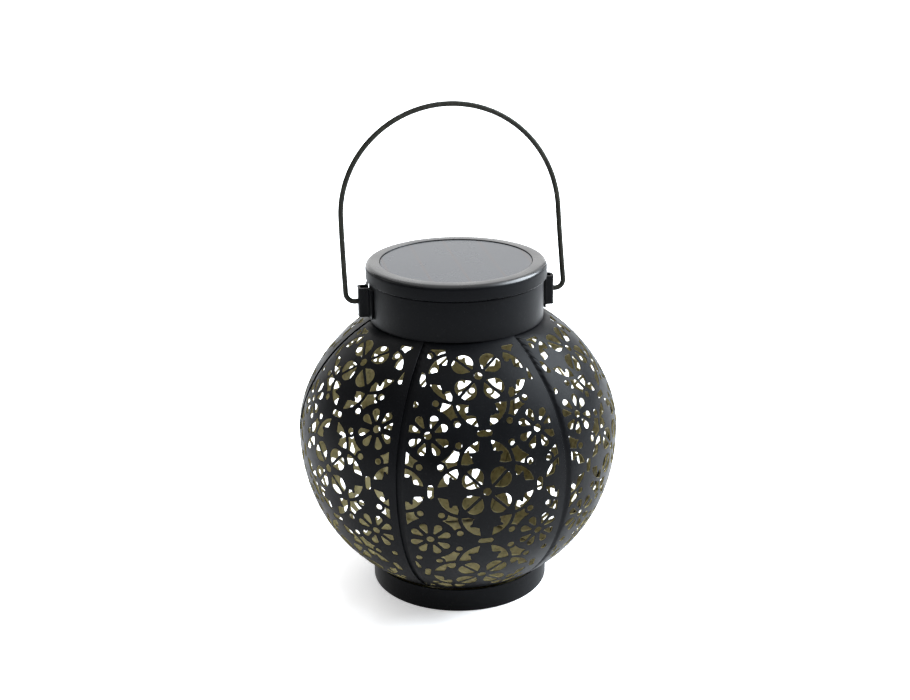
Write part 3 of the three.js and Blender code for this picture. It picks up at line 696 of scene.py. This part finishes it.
def tube(path, radius, sides=20):
    """A round rod along a flat path of points in the XZ plane, with slightly domed ends."""
    points = [Vector((x, 0, z)) for x, z in path]
    across = Vector((0, 1, 0))
    start_direction = (points[1] - points[0]).normalized()
    end_direction = (points[-1] - points[-2]).normalized()
    edge = 0.25 * radius
    rings = [(points[0], start_direction, radius - edge)]
    for i, point in enumerate(points):
        before = points[max(i - 1, 0)]
        after = points[min(i + 1, len(points) - 1)]
        middle = point
        if i == 0:
            middle = point + start_direction * edge
        if i == len(points) - 1:
            middle = point - end_direction * edge
        rings.append((middle, (after - before).normalized(), radius))
    rings.append((points[-1], end_direction, radius - edge))
    vertices = []
    for middle, direction, ring_radius in rings:
        outward = across.cross(direction).normalized()
        for side in range(sides):
            angle = TAU * side / sides
            offset = outward * math.cos(angle) + across * math.sin(angle)
            vertices.append(tuple(middle + offset * ring_radius))
    last = len(vertices) - sides
    faces = []
    for first in range(0, last, sides):
        faces += ring_faces(first, first + sides, sides)
    faces.append(tuple(range(sides - 1, -1, -1)))
    faces.append(tuple(range(last, last + sides)))
    return vertices, faces


# ------------------------------------------------------------------ materials

class Paint:
    """A Principled material built up from nodes, with its pattern in the lantern's own space."""

    def __init__(self, name):
        self.material = bpy.data.materials.new(name)
        self.material.use_nodes = True
        self.nodes = self.material.node_tree.nodes
        self.links = self.material.node_tree.links
        self.shader = self.nodes["Principled BSDF"]
        self.place = self.nodes.new("ShaderNodeTexCoord").outputs["Object"]
        self.height = None

    def set(self, **values):
        names = {
            "metallic": "Metallic",
            "ior": "IOR",
            "specular": "Specular IOR Level",
            "coat": "Coat Weight",
            "coat_roughness": "Coat Roughness",
            "transmission": "Transmission Weight",
        }
        for key, value in values.items():
            self.shader.inputs[names[key]].default_value = value
        return self

    def noise(self, size_mm, detail=3.0, stretch=(1, 1, 1)):
        """Smooth noise from 0 to 1 whose features are about size_mm across."""
        scaled = self.nodes.new("ShaderNodeMapping")
        scaled.inputs["Scale"].default_value = stretch
        self.links.new(self.place, scaled.inputs["Vector"])
        noise = self.nodes.new("ShaderNodeTexNoise")
        noise.inputs["Scale"].default_value = 1 / (size_mm * MM)
        noise.inputs["Detail"].default_value = detail
        self.links.new(scaled.outputs["Vector"], noise.inputs["Vector"])
        return noise.outputs["Fac"]

    def ramp(self, value, low, high):
        """The value spread so that low becomes 0 and high becomes 1."""
        spread = self.nodes.new("ShaderNodeMapRange")
        spread.inputs["From Min"].default_value = low
        spread.inputs["From Max"].default_value = high
        self.links.new(value, spread.inputs["Value"])
        return spread.outputs["Result"]

    def mix(self, amount, first, second):
        """Between two colours, each a tuple or a node's output."""
        mixer = self.nodes.new("ShaderNodeMix")
        mixer.data_type = "RGBA"
        self.links.new(amount, mixer.inputs["Factor"])
        for socket, colour in (("A", first), ("B", second)):
            target = [s for s in mixer.inputs if s.name == socket and s.type == "RGBA"][0]
            if isinstance(colour, tuple):
                target.default_value = (*colour, 1)
            else:
                self.links.new(colour, target)
        return [s for s in mixer.outputs if s.type == "RGBA"][0]

    def colour(self, output):
        self.links.new(output, self.shader.inputs["Base Color"])
        return self

    def roughness(self, value, low, high):
        """Roughness that runs from low to high as the value goes from 0 to 1."""
        spread = self.nodes.new("ShaderNodeMapRange")
        spread.inputs["To Min"].default_value = low
        spread.inputs["To Max"].default_value = high
        self.links.new(value, spread.inputs["Value"])
        self.links.new(spread.outputs["Result"], self.shader.inputs["Roughness"])
        return self

    def bump(self, value, height_mm, strength=1.0):
        """Adds a layer of bumps, over those added before it."""
        bump = self.nodes.new("ShaderNodeBump")
        bump.inputs["Distance"].default_value = height_mm * MM
        bump.inputs["Strength"].default_value = strength
        self.links.new(value, bump.inputs["Height"])
        if self.height is not None:
            self.links.new(self.height, bump.inputs["Normal"])
        self.height = bump.outputs["Normal"]
        self.links.new(self.height, self.shader.inputs["Normal"])
        return self


def powder_black(name, roughness=(0.36, 0.5)):
    """Satin black coating on steel: fine orange peel, faint dust and slightly uneven sheet."""
    paint = Paint(name)
    cloud = paint.ramp(paint.noise(28), 0.35, 0.65)
    speck = paint.ramp(paint.noise(0.9), 0.62, 0.75)
    dark = paint.mix(cloud, (0.0022, 0.0024, 0.0029), (0.0034, 0.0037, 0.0044))
    paint.colour(paint.mix(speck, dark, (0.009, 0.009, 0.0095)))
    paint.roughness(cloud, *roughness)
    paint.bump(paint.noise(16), 0.35, 0.5)
    paint.bump(paint.noise(1.1), 0.035, 0.6)
    return paint.set(specular=0.048).material


def inside_gold(name):
    """Dull gold paint, thin enough to be patchy, on the inside of the sheet."""
    paint = Paint(name)
    patch = paint.ramp(paint.noise(9), 0.3, 0.7)
    grime = paint.ramp(paint.noise(2.2), 0.5, 0.75)
    gold = paint.mix(patch, (0.165, 0.14, 0.058), (0.235, 0.202, 0.09))
    paint.colour(paint.mix(grime, gold, (0.105, 0.084, 0.033)))
    paint.roughness(patch, 0.42, 0.6)
    paint.bump(paint.noise(1.4), 0.04, 0.6)
    return paint.set(metallic=0.25, specular=0.25).material


def wire_black(name):
    """Black lacquer on drawn wire, with marks that run along it."""
    paint = Paint(name)
    mark = paint.ramp(paint.noise(1.5, stretch=(1, 1, 0.12)), 0.45, 0.7)
    paint.colour(paint.mix(mark, (0.016, 0.016, 0.0135), (0.028, 0.028, 0.023)))
    paint.roughness(mark, 0.45, 0.58)
    paint.bump(paint.noise(0.8, stretch=(1, 1, 0.2)), 0.02, 0.7)
    return paint.set(specular=0.05).material


def moulded_black(name, tint=(0.012, 0.013, 0.015), roughness=(0.4, 0.52), specular=0.4):
    """Black moulded plastic with a fine spark-eroded grain."""
    paint = Paint(name)
    cloud = paint.ramp(paint.noise(14), 0.35, 0.65)
    lighter = tuple(1.5 * c for c in tint)
    paint.colour(paint.mix(cloud, tint, lighter))
    paint.roughness(cloud, *roughness)
    paint.bump(paint.noise(0.45, detail=1.0), 0.02, 0.7)
    return paint.set(specular=specular).material


def panel_resin(name):
    """Hard clear resin over four dark strips of silicon, with faint warmer lines between them."""
    paint = Paint(name)
    haze = paint.ramp(paint.noise(18), 0.35, 0.65)
    film = paint.mix(haze, (0.034, 0.036, 0.04), (0.04, 0.042, 0.046))
    split = paint.nodes.new("ShaderNodeSeparateXYZ")
    paint.links.new(paint.place, split.inputs["Vector"])
    silicon_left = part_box("solar_cell_1")[0].x
    pitch = -silicon_left / 2
    wave = paint.nodes.new("ShaderNodeMath")
    wave.operation = "PINGPONG"
    wave.inputs[1].default_value = pitch / 2
    paint.links.new(split.outputs["X"], wave.inputs[0])
    near_line = paint.ramp(wave.outputs["Value"], 0.9 * MM, 0.1 * MM)
    paint.colour(paint.mix(near_line, film, (0.044, 0.038, 0.038)))
    paint.roughness(haze, 0.24, 0.28)
    paint.bump(paint.noise(9), 0.001, 0.03)
    return paint.set(specular=0.09, ior=1.5).material


def clouded(name, cloud_mm, colours, roughness, grain, **values):
    """A material with soft clouds in its colour and gloss. The grain is (size, height, strength)."""
    paint = Paint(name)
    cloud = paint.ramp(paint.noise(cloud_mm), 0.3, 0.7)
    paint.colour(paint.mix(cloud, *colours))
    paint.roughness(cloud, *roughness)
    grain_mm, height_mm, strength = grain
    paint.bump(paint.noise(grain_mm), height_mm, strength)
    return paint.set(**values).material


def plain_plastic(name, colour, roughness, grain_mm=0.8):
    """Painted, dipped or moulded stuff with a little unevenness in colour and gloss."""
    darker = tuple(0.82 * c for c in colour)
    spread = (roughness - 0.06, roughness + 0.06)
    return clouded(name, 5, (darker, colour), spread, (grain_mm, 0.02, 0.5))


def plated_metal(name, colour, roughness):
    """Plated steel with fine scratches."""
    paint = Paint(name)
    scratch = paint.ramp(paint.noise(1.2, stretch=(0.15, 1, 1)), 0.4, 0.7)
    darker = tuple(0.75 * c for c in colour)
    paint.colour(paint.mix(scratch, colour, darker))
    paint.roughness(scratch, roughness - 0.08, roughness + 0.1)
    paint.bump(paint.noise(0.5, stretch=(0.2, 1, 1)), 0.01, 0.6)
    return paint.set(metallic=1.0).material


def silicon(name):
    """Dark amorphous silicon, brown to violet from place to place."""
    colours = ((0.022, 0.02, 0.026), (0.034, 0.028, 0.03))
    return clouded(name, 11, colours, (0.22, 0.32), (0.6, 0.01, 0.4), coat=0.5, coat_roughness=0.1)


def circuit_green(name):
    """Green solder mask, with traces that show as faint paler lines."""
    paint = Paint(name)
    waves = paint.nodes.new("ShaderNodeTexWave")
    waves.inputs["Scale"].default_value = 110
    waves.inputs["Distortion"].default_value = 6
    paint.links.new(paint.place, waves.inputs["Vector"])
    trace = paint.ramp(waves.outputs["Fac"], 0.72, 0.8)
    paint.colour(paint.mix(trace, (0.018, 0.12, 0.045), (0.035, 0.19, 0.075)))
    paint.roughness(trace, 0.4, 0.32)
    paint.bump(trace, 0.03, 0.6)
    return paint.material


def sleeve_green(name):
    """The battery's shrink sleeve, with a plain darker band round one end."""
    paint = Paint(name)
    split = paint.nodes.new("ShaderNodeSeparateXYZ")
    paint.links.new(paint.place, split.inputs["Vector"])
    band_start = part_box("battery_cell")[1].x - 12 * MM
    band = paint.ramp(split.outputs["X"], band_start - 0.5 * MM, band_start)
    cloud = paint.ramp(paint.noise(7), 0.3, 0.7)
    body = paint.mix(cloud, (0.028, 0.2, 0.07), (0.036, 0.24, 0.085))
    paint.colour(paint.mix(band, body, (0.55, 0.55, 0.52)))
    paint.roughness(cloud, 0.28, 0.38)
    paint.bump(paint.noise(2.5), 0.02, 0.4)
    return paint.material


def clear_epoxy(name):
    """The warm, slightly milky epoxy of the light."""
    colours = ((0.86, 0.8, 0.6), (0.93, 0.88, 0.7))
    return clouded(name, 1.8, colours, (0.08, 0.16), (1.2, 0.01, 0.3), transmission=0.6, ior=1.53)


def floor_white(name):
    """A white sweep, lit a little from below so that shadows on it stay faint."""
    paint = Paint(name)
    cloud = paint.ramp(paint.noise(400), 0.3, 0.7)
    paint.colour(paint.mix(cloud, (0.88, 0.88, 0.88), (0.9, 0.9, 0.9)))
    paint.roughness(cloud, 0.75, 0.85)
    paint.shader.inputs["Emission Color"].default_value = (1, 1, 1, 1)
    paint.shader.inputs["Emission Strength"].default_value = 0.45
    return paint.set(specular=0.1).material


SHEET_BLACK = powder_black("SheetBlack")
INSIDE_GOLD = inside_gold("InsideGold")
WIRE_BLACK = wire_black("WireBlack")
LID_TOP = moulded_black("LidTop", (0.0018, 0.002, 0.0025), (0.24, 0.32), 0.3)
LID_SIDE = moulded_black("LidSide", (0.0018, 0.002, 0.0025), (0.4, 0.5), 0.05)
HOUSING_BLACK = moulded_black("HousingBlack", specular=0.2)
PANEL_RESIN = panel_resin("PanelResin")
SCREW_STEEL = plated_metal("ScrewSteel", (0.62, 0.62, 0.62), 0.32)
LED_RESIN = clear_epoxy("LedResin")
SLIDER_WHITE = plain_plastic("SliderWhite", (0.72, 0.72, 0.69), 0.45)

# The CAD nodes that stay, each with the material of its slot
NODE_MATERIALS = {
    "silicon": silicon("Silicon"),
    "backer_white": plain_plastic("BackerWhite", (0.66, 0.66, 0.62), 0.75, 1.5),
    "seal_silicone": plain_plastic("SealSilicone", (0.44, 0.44, 0.41), 0.6),
    "housing_black": HOUSING_BLACK,
    "screw_steel": SCREW_STEEL,
    "battery_green": sleeve_green("BatteryGreen"),
    "contact_nickel": plated_metal("ContactNickel", (0.66, 0.63, 0.57), 0.25),
    "board_green": circuit_green("BoardGreen"),
    "chip_black": plain_plastic("ChipBlack", (0.012, 0.012, 0.012), 0.5),
    "inductor_teal": plain_plastic("InductorTeal", (0.05, 0.25, 0.19), 0.3),
    "led_resin": LED_RESIN,
    "switch_steel": plated_metal("SwitchSteel", (0.5, 0.5, 0.5), 0.35),
    "slider_white": SLIDER_WHITE,
    "lead_red": plain_plastic("LeadRed", (0.4, 0.022, 0.016), 0.4),
    "lead_black": plain_plastic("LeadBlack", (0.014, 0.014, 0.014), 0.4),
}


def dress_cad_nodes():
    """Gives every CAD node the material of its slot."""
    for subpart in frame["record"]["subparts"]:
        material = NODE_MATERIALS.get(subpart["material_slot"])
        if material is not None:
            mesh = frame["nodes"][subpart["node"]].data
            mesh.materials.clear()
            mesh.materials.append(material)


dress_cad_nodes()


# ------------------------------------------------------------------ globe

NECK_IN_COLLAR = 1.2  # how far the globe's neck reaches up inside the collar


def add_gores():
    low, high = box_mm("gore_1")
    profile = Profile(globe_radius(), low.z, high.z + NECK_IN_COLLAR)
    gore = Gore(profile)
    for index in range(GORES):
        middle = math.radians(FIRST_SEAM_DEG) + (2 * index + 1) * HALF_GORE
        *shape, painted_inside = gore.mesh_data(middle)
        node = f"gore_{index + 1}"
        paints = (SHEET_BLACK, INSIDE_GOLD)
        piece = add_mesh(f"globe_{node}", shape, "lantern_body", node, "sheet_black", *paints)
        piece.data.polygons.foreach_set("material_index", [int(p) for p in painted_inside])


add_gores()


# ------------------------------------------------------------------ base, collar and ears

FOOT_FLANGE = 5.5
MOUTH_RADIUS = 38.9  # of the hole in the collar's ledge, and of the bezel's skirt above it


def add_base_ring():
    """A hoop of sheet whose foot is turned in as a flat flange."""
    low, high = box_mm("base_ring")
    outer = high.x - SKIN
    inner = outer - SHEET
    flange = outer - FOOT_FLANGE
    outline = [
        (flange, low.z),
        (outer, low.z),
        (outer, high.z),
        (inner, high.z),
        (inner, low.z + SHEET),
        (flange, low.z + SHEET),
    ]
    shape = lathe(rounded(outline, [0.2, 0.9, 0.25, 0.25, 0.3, 0.2]))
    add_mesh("foot_ring", shape, "lantern_body", "base_ring", "sheet_black", SHEET_BLACK)


def add_base_plate():
    """The globe's floor, painted gold on the inside and black underneath."""
    low, high = box_mm("base_plate")
    edge = 0.3
    rim = high.x - edge
    outline = [(0, low.z), (rim, low.z), (high.x, low.z + edge), (rim, high.z), (0, high.z)]
    paints = (INSIDE_GOLD, SHEET_BLACK)
    shape = lathe(outline)
    piece = add_mesh("bottom_plate", shape, "lantern_body", "base_plate", "inside_gold", *paints)
    for face in piece.data.polygons:
        face.material_index = int(face.normal.z < 0.5)


def add_collar():
    """A hoop of sheet whose top is turned in as the ledge that the lid rests on."""
    low, high = box_mm("neck_collar")
    outer = high.x - SKIN
    inner = outer - SHEET
    outline = [
        (inner, low.z),
        (outer, low.z),
        (outer, high.z),
        (MOUTH_RADIUS, high.z),
        (MOUTH_RADIUS, high.z - SHEET),
        (inner, high.z - SHEET),
    ]
    shape = lathe(rounded(outline, [0.2, 0.2, 0.8, 0.2, 0.2, 0.2]))
    add_mesh("collar", shape, "lantern_body", "neck_collar", "sheet_black", SHEET_BLACK)


add_base_ring()
add_base_plate()
add_collar()


def extruded(outline, low_z, high_z, bevel):
    """An upright prism from a closed outline, with its top and bottom edges bevelled."""
    corners = [Vector(p) for p in outline]
    count = len(corners)
    inset = []
    for i, corner in enumerate(corners):
        run = (corners[(i + 1) % count] - corners[i - 1]).normalized()
        inset.append(corner + Vector((-run.y, run.x)) * bevel)
    rings = [(inset, low_z), (corners, low_z + bevel), (corners, high_z - bevel), (inset, high_z)]
    vertices = [(p.x, p.y, z) for ring, z in rings for p in ring]
    faces = [tuple(reversed(range(count))), tuple(range(3 * count, 4 * count))]
    for level in range(3):
        faces += ring_faces(level * count, (level + 1) * count, count)
    return vertices, faces


def bake_modifier(piece, modifier):
    """Makes a modifier's result the piece's own mesh."""
    bpy.context.view_layer.update()
    seen = piece.evaluated_get(bpy.context.evaluated_depsgraph_get())
    shaped = bpy.data.meshes.new_from_object(seen)
    piece.modifiers.remove(modifier)
    piece.data = shaped


def carve(piece, cutter_shape):
    """Cuts a shape out of a piece, for good."""
    cutter = add_object("cutter", solid_mesh("cutter", *cutter_shape))
    cut = piece.modifiers.new("Cut", "BOOLEAN")
    cut.operation = "DIFFERENCE"
    cut.solver = "EXACT"
    cut.object = cutter
    bake_modifier(piece, cut)
    bpy.data.objects.remove(cutter)


EAR_SHEET = 0.9
EAR_WIDTH = 6.6
EAR_FLANGE = math.radians(11)
EAR_HOLE = 1.6


def ear_outline(inner, reach):
    """A channel that stands off the collar, with a flange on either side that hugs it."""
    outer = inner + EAR_SHEET
    half = EAR_WIDTH / 2
    start_inside = math.degrees(math.asin((half - EAR_SHEET) / inner))
    start_outside = math.degrees(math.asin(half / outer))
    end = math.degrees(EAR_FLANGE)
    half_outline = [
        *arc_points((0, 0), outer, end, start_outside + 1.2, 6),
        *arc_points((outer + 0.8, half + 0.75), 0.8, 200, 270, 3),
        *arc_points((reach - 1.5, half - 1.5), 1.5, 90, 0, 5),
    ]
    half_inside = [
        (reach - EAR_SHEET, 0),
        *arc_points((reach - 1.5, half - 1.5), 0.6, 0, 90, 3),
        *arc_points((0, 0), inner, start_inside, end, 6),
    ]
    upper = half_inside + half_outline
    lower = [(x, -y) for x, y in reversed(upper[1:])]
    return upper + lower


def add_ear(node, side):
    low, high = box_mm(node)
    inner = box_mm("neck_collar")[1].x + GAP
    reach = max(high.x, -low.x) - SKIN
    outline = ear_outline(inner, reach)
    vertices, faces = extruded(outline, low.z, high.z, 0.15)
    turned = [(side * x, side * y, z) for x, y, z in vertices]
    name = node.replace("ear", "bail_ear")
    piece = add_mesh(name, (turned, faces), "lantern_body", node, "sheet_black")
    pin = pivot_mm()
    bore_path = [(side * (reach - 2 * EAR_SHEET), pin.z), (side * (reach + EAR_SHEET), pin.z)]
    carve(piece, tube(bore_path, EAR_HOLE, 24))
    piece.data.materials.append(SHEET_BLACK)


def pivot_mm():
    joint = next(j for j in frame["joints"] if j["name"] == "bail_swing")
    return Vector(joint["pos_m"]) / MM


add_ear("ear_right", 1)
add_ear("ear_left", -1)


# ------------------------------------------------------------------ bail

BAIL_WIRE = 2.5
BAIL_RADIUS = 51.0
BAIL_SPREAD = 1.0  # how much wider than round the arch is at its foot, on either side
BAIL_LEG = 38.45
BAIL_BEND = 4.0
BAIL_TIP_X = 43.1
BAIL_LEAN = math.radians(10.3)
BAIL_SWAY = 0.9  # how far the soft wire is bent out of true, towards -x


def bail_path():
    """The wire's centre line, upright, from the left pin over the arch to the right pin."""
    foot_x = box_mm("bail_wire")[1].x - BAIL_WIRE / 2 - SKIN
    bend = arc_points((BAIL_BEND - foot_x, BAIL_BEND), BAIL_BEND, 270, 180, 10)
    half_span = BAIL_RADIUS + BAIL_SPREAD
    quarter = arc_points((0, BAIL_LEG), BAIL_RADIUS, 180, 90, 36)
    arch = [(x * half_span / BAIL_RADIUS, z) for x, z in quarter]
    legs = []
    for i in range(1, 8):
        x = -foot_x + (foot_x - half_span) * i / 8
        legs.append((x, BAIL_BEND + (BAIL_LEG - BAIL_BEND) * i / 8))
    left = [(-BAIL_TIP_X, 0), *bend, *legs, *arch]
    right = [(-x, z) for x, z in reversed(left[:-1])]
    top = BAIL_LEG + BAIL_RADIUS
    return [(x - BAIL_SWAY * math.sin(math.pi * z / top), z) for x, z in left + right]


def add_bail():
    vertices, faces = tube(bail_path(), BAIL_WIRE / 2)
    lean = Matrix.Rotation(-BAIL_LEAN, 3, "X")
    pivot = pivot_mm()
    placed = [tuple(lean @ Vector(v) + pivot) for v in vertices]
    add_mesh("bail_handle", (placed, faces), "bail", "bail_wire", "wire_black", WIRE_BLACK)


add_bail()


# ------------------------------------------------------------------ solar lid

STEEP_SIDE = 0.4  # the moulding is grained where its normal rises less than this, glossier above
RIM_WALL = 2.0
RIM_ROUND = 2.5
PANEL_GAP = 0.12
SHELF_RADIUS = 30.0  # of the hole in the shelf that the panel's backer lies on
SHELF_TOP, SHELF_BOTTOM = 159.4, 158.2


def add_bezel():
    """The rim over the collar, with a recess for the panel and a shelf under it."""
    high = box_mm("lid_bezel")[1]
    outer = high.x - SKIN
    inner = outer - RIM_WALL
    top = high.z
    rim_bottom = box_mm("neck_collar")[1].z + GAP
    recess = box_mm("panel_cover")[1].x + PANEL_GAP
    outline = [
        (inner, rim_bottom),
        (outer, rim_bottom),
        (outer, top),
        (recess, top),
        (recess, SHELF_TOP),
        (SHELF_RADIUS, SHELF_TOP),
        (SHELF_RADIUS, SHELF_BOTTOM),
        (MOUTH_RADIUS, SHELF_BOTTOM),
        (MOUTH_RADIUS, top - RIM_WALL),
        (inner, top - RIM_WALL),
    ]
    radii = [0.3, 0.5, RIM_ROUND, 0.25, 0, 0.3, 0.3, 0, 0.5, 0.5]
    shape = lathe(rounded(outline, radii, 7))
    piece = add_mesh("lid_rim", shape, "solar_lid", "lid_bezel", "lid_black", LID_TOP, LID_SIDE)
    for face in piece.data.polygons:
        face.material_index = int(abs(face.normal.z) < STEEP_SIDE)


def add_panel():
    """The resin disc over the cells, with a rounded edge."""
    low, high = box_mm("panel_cover")
    outer = high.x - SKIN
    bend = 0.25
    edge = arc_points((outer - bend, high.z - bend), bend, 0, 90, 5)
    flat_from = outer - 2 * bend
    outline = [(0, low.z), (outer, low.z), *edge, (flat_from, high.z), (0, high.z)]
    shape = lathe(outline)
    add_mesh("panel_face", shape, "solar_lid", "panel_cover", "panel_resin", PANEL_RESIN)


add_bezel()
add_panel()


def moulded(name, node, body, material, edge):
    """A node's own shape with its sharp edges rounded over, as moulding leaves them."""
    shape = bmesh.new()
    shape.from_mesh(frame["nodes"][node].data)
    bmesh.ops.remove_doubles(shape, verts=shape.verts, dist=0.01 * MM)
    bmesh.ops.dissolve_limit(shape, angle_limit=math.radians(1), verts=shape.verts, edges=shape.edges)
    sharp = [e for e in shape.edges if e.is_manifold and e.calc_face_angle() > math.radians(35)]
    bmesh.ops.bevel(
        shape, geom=sharp, offset=edge * MM, segments=2, profile=0.5, affect="EDGES", clamp_overlap=True
    )
    mesh = bpy.data.meshes.new(name)
    shape.to_mesh(mesh)
    shape.free()
    mesh.polygons.foreach_set("use_smooth", [True] * len(mesh.polygons))
    mesh.materials.clear()
    mesh.materials.append(material)
    piece = add_object(name, mesh)
    flatten = piece.modifiers.new("Flatten", "WEIGHTED_NORMAL")
    flatten.weight = 100
    bake_modifier(piece, flatten)
    stand_for(piece, body, node)


SCREW_HEAD = 1.4
SCREW_DOME = 0.8
THREAD_PITCH = 0.8
RECESS_DEPTH = 0.7


def screw_outline(low_z, high_z, radius):
    """Half a screw's outline, head down: its dome, its shank and the ridges of its thread."""
    shank = 0.52 * radius
    head_top = low_z + SCREW_HEAD
    dome = arc_points((radius - SCREW_DOME, low_z + SCREW_DOME), SCREW_DOME, 270, 360, 5)
    ridges = int((high_z - head_top - 1) / THREAD_PITCH)
    thread = []
    for ridge in range(ridges):
        z = head_top + THREAD_PITCH * (ridge + 0.45)
        thread += [(shank, z), (shank * 0.78, z + 0.3 * THREAD_PITCH)]
    return [(0, low_z), *dome, (radius, head_top), (shank, head_top), *thread, (0, high_z)]


def cross_outline(middle, radius):
    """The cross recess in a screw's head, anticlockwise."""
    arm = 0.62 * radius
    slot = 0.16 * radius
    outline = []
    for quarter in range(4):
        turn = Matrix.Rotation(quarter * TAU / 4, 2)
        for corner in ((arm, slot), (slot, slot), (slot, arm)):
            outline.append(turn @ Vector(corner) + middle.xy)
    return outline


def add_screw(name, node, body):
    """A domed screw head with a cross recess, on a threaded shank."""
    low, high = box_mm(node)
    middle = (low + high) / 2
    radius = (high.x - low.x) / 2 - SKIN
    vertices, faces = lathe(screw_outline(low.z, high.z, radius), 36)
    placed = [(x + middle.x, y + middle.y, z) for x, y, z in vertices]
    piece = add_mesh(name, (placed, faces), body, node, "screw_steel")
    recess = cross_outline(middle, radius)
    carve(piece, extruded(recess, low.z - 1, low.z + RECESS_DEPTH, 0.05))
    piece.data.materials.append(SCREW_STEEL)


def add_light():
    """The light's domed bulb, its flange and its two legs."""
    low, high = box_mm("led_lamp")
    flange = high.x - 0.02
    bulb = flange - 0.4
    dome_z = low.z + bulb
    outline = [
        *arc_points((0, dome_z), bulb, 270, 360, 14),
        (bulb, high.z - 1.4),
        (flange - 0.1, high.z - 1.4),
        (flange, high.z - 1.3),
        (flange, high.z - 0.6),
        (flange - 0.1, high.z - 0.5),
        (0, high.z - 0.5),
    ]
    vertices, faces = lathe(outline, 48)
    for x in (-1.27, 1.27):
        first = len(vertices)
        leg = [(x - 0.25, -0.25), (x + 0.25, -0.25), (x + 0.25, 0.25), (x - 0.25, 0.25)]
        leg_vertices, leg_faces = extruded(leg, high.z - 0.6, high.z, 0.03)
        vertices += leg_vertices
        faces += [tuple(first + i for i in face) for face in leg_faces]
    add_mesh("light_bulb", (vertices, faces), "solar_lid", "led_lamp", "led_resin", LED_RESIN)


moulded("housing_cup", "module_housing", "solar_lid", HOUSING_BLACK, 0.3)
moulded("hatch_door", "battery_door", "battery_hatch", HOUSING_BLACK, 0.25)
moulded("slider_grip", "switch_slider", "light_switch", SLIDER_WHITE, 0.12)
for number in (1, 2, 3):
    add_screw(f"cross_screw_{number}", f"housing_screw_{number}", "solar_lid")
add_screw("hatch_screw", "door_screw", "battery_hatch")
add_light()


# ------------------------------------------------------------------ floor, light and camera

def add_floor():
    size = 30.0
    mesh = bpy.data.meshes.new("floor")
    corners = [(-size, -size, 0), (size, -size, 0), (size, size, 0), (-size, size, 0)]
    mesh.from_pydata(corners, [], [(0, 1, 2, 3)])
    mesh.materials.append(floor_white("FloorWhite"))
    add_object("floor", mesh)


def add_area_light(name, place, target, size, power, colour=(1, 1, 1)):
    """A soft rectangular light that only shows in reflections."""
    data = bpy.data.lights.new(name, "AREA")
    data.shape = "RECTANGLE"
    data.size, data.size_y = size
    data.energy = power
    data.color = colour
    light = add_object(name, data)
    light.location = place
    light.rotation_euler = (Vector(target) - Vector(place)).to_track_quat("-Z", "Y").to_euler()
    light.visible_camera = False


def add_world():
    world = bpy.data.worlds.new("Studio")
    world.use_nodes = True
    background = world.node_tree.nodes["Background"]
    background.inputs["Color"].default_value = (0.97, 0.985, 1, 1)
    background.inputs["Strength"].default_value = 0.3
    bpy.context.scene.world = world


def add_lights():
    """A big overhead softbox, a bright wall behind, and a softbox on either side."""
    middle = (0, 0, 0.1)
    add_area_light("TopSoftbox", (0, 0.5, 2.2), middle, (3.2, 3.2), 62)
    add_area_light("BackWall", (0.5, 4.2, 1.7), (0.5, 0, 0.5), (6.8, 3.3), 140)
    cool = (0.86, 0.93, 1)
    add_area_light("RightSoftbox", (2.0, 0.1, 1.6), middle, (2.0, 1.6), 250, cool)
    add_area_light("LeftSoftbox", (-2.2, 0.9, 0.8), middle, (0.7, 1.6), 2)


CAMERA_AZIMUTH = math.radians(-10.5)
CAMERA_ELEVATION = math.radians(19.813)
CAMERA_DISTANCE = 0.70097
CAMERA_TARGET_Z = 0.11829
CAMERA_LENS = 57.56
CAMERA_PAN = math.radians(0.0816)
CAMERA_ROLL = math.radians(-0.706)


def add_camera():
    """A camera that looks down on the lantern, a little from its left."""
    flat = Vector((math.sin(CAMERA_AZIMUTH), -math.cos(CAMERA_AZIMUTH), 0))
    back = flat * math.cos(CAMERA_ELEVATION) + Vector((0, 0, math.sin(CAMERA_ELEVATION)))
    forward = -back
    right = Vector((math.cos(CAMERA_AZIMUTH), math.sin(CAMERA_AZIMUTH), 0))
    up = right.cross(forward)
    panned_forward = forward * math.cos(CAMERA_PAN) - right * math.sin(CAMERA_PAN)
    panned_right = right * math.cos(CAMERA_PAN) + forward * math.sin(CAMERA_PAN)
    rolled_right = panned_right * math.cos(CAMERA_ROLL) + up * math.sin(CAMERA_ROLL)
    rolled_up = up * math.cos(CAMERA_ROLL) - panned_right * math.sin(CAMERA_ROLL)
    data = bpy.data.cameras.new("Camera")
    data.lens = CAMERA_LENS
    data.sensor_width = 36
    data.clip_start = 0.01
    data.clip_end = 50
    camera = add_object("Camera", data)
    turn = Matrix((rolled_right, rolled_up, -panned_forward)).transposed()
    place = Vector((0, 0, CAMERA_TARGET_Z)) + back * CAMERA_DISTANCE
    camera.matrix_world = Matrix.Translation(place) @ turn.to_4x4()
    bpy.context.scene.camera = camera


add_floor()
add_world()
add_lights()
add_camera()
bpy.context.scene.view_settings.view_transform = "Standard"
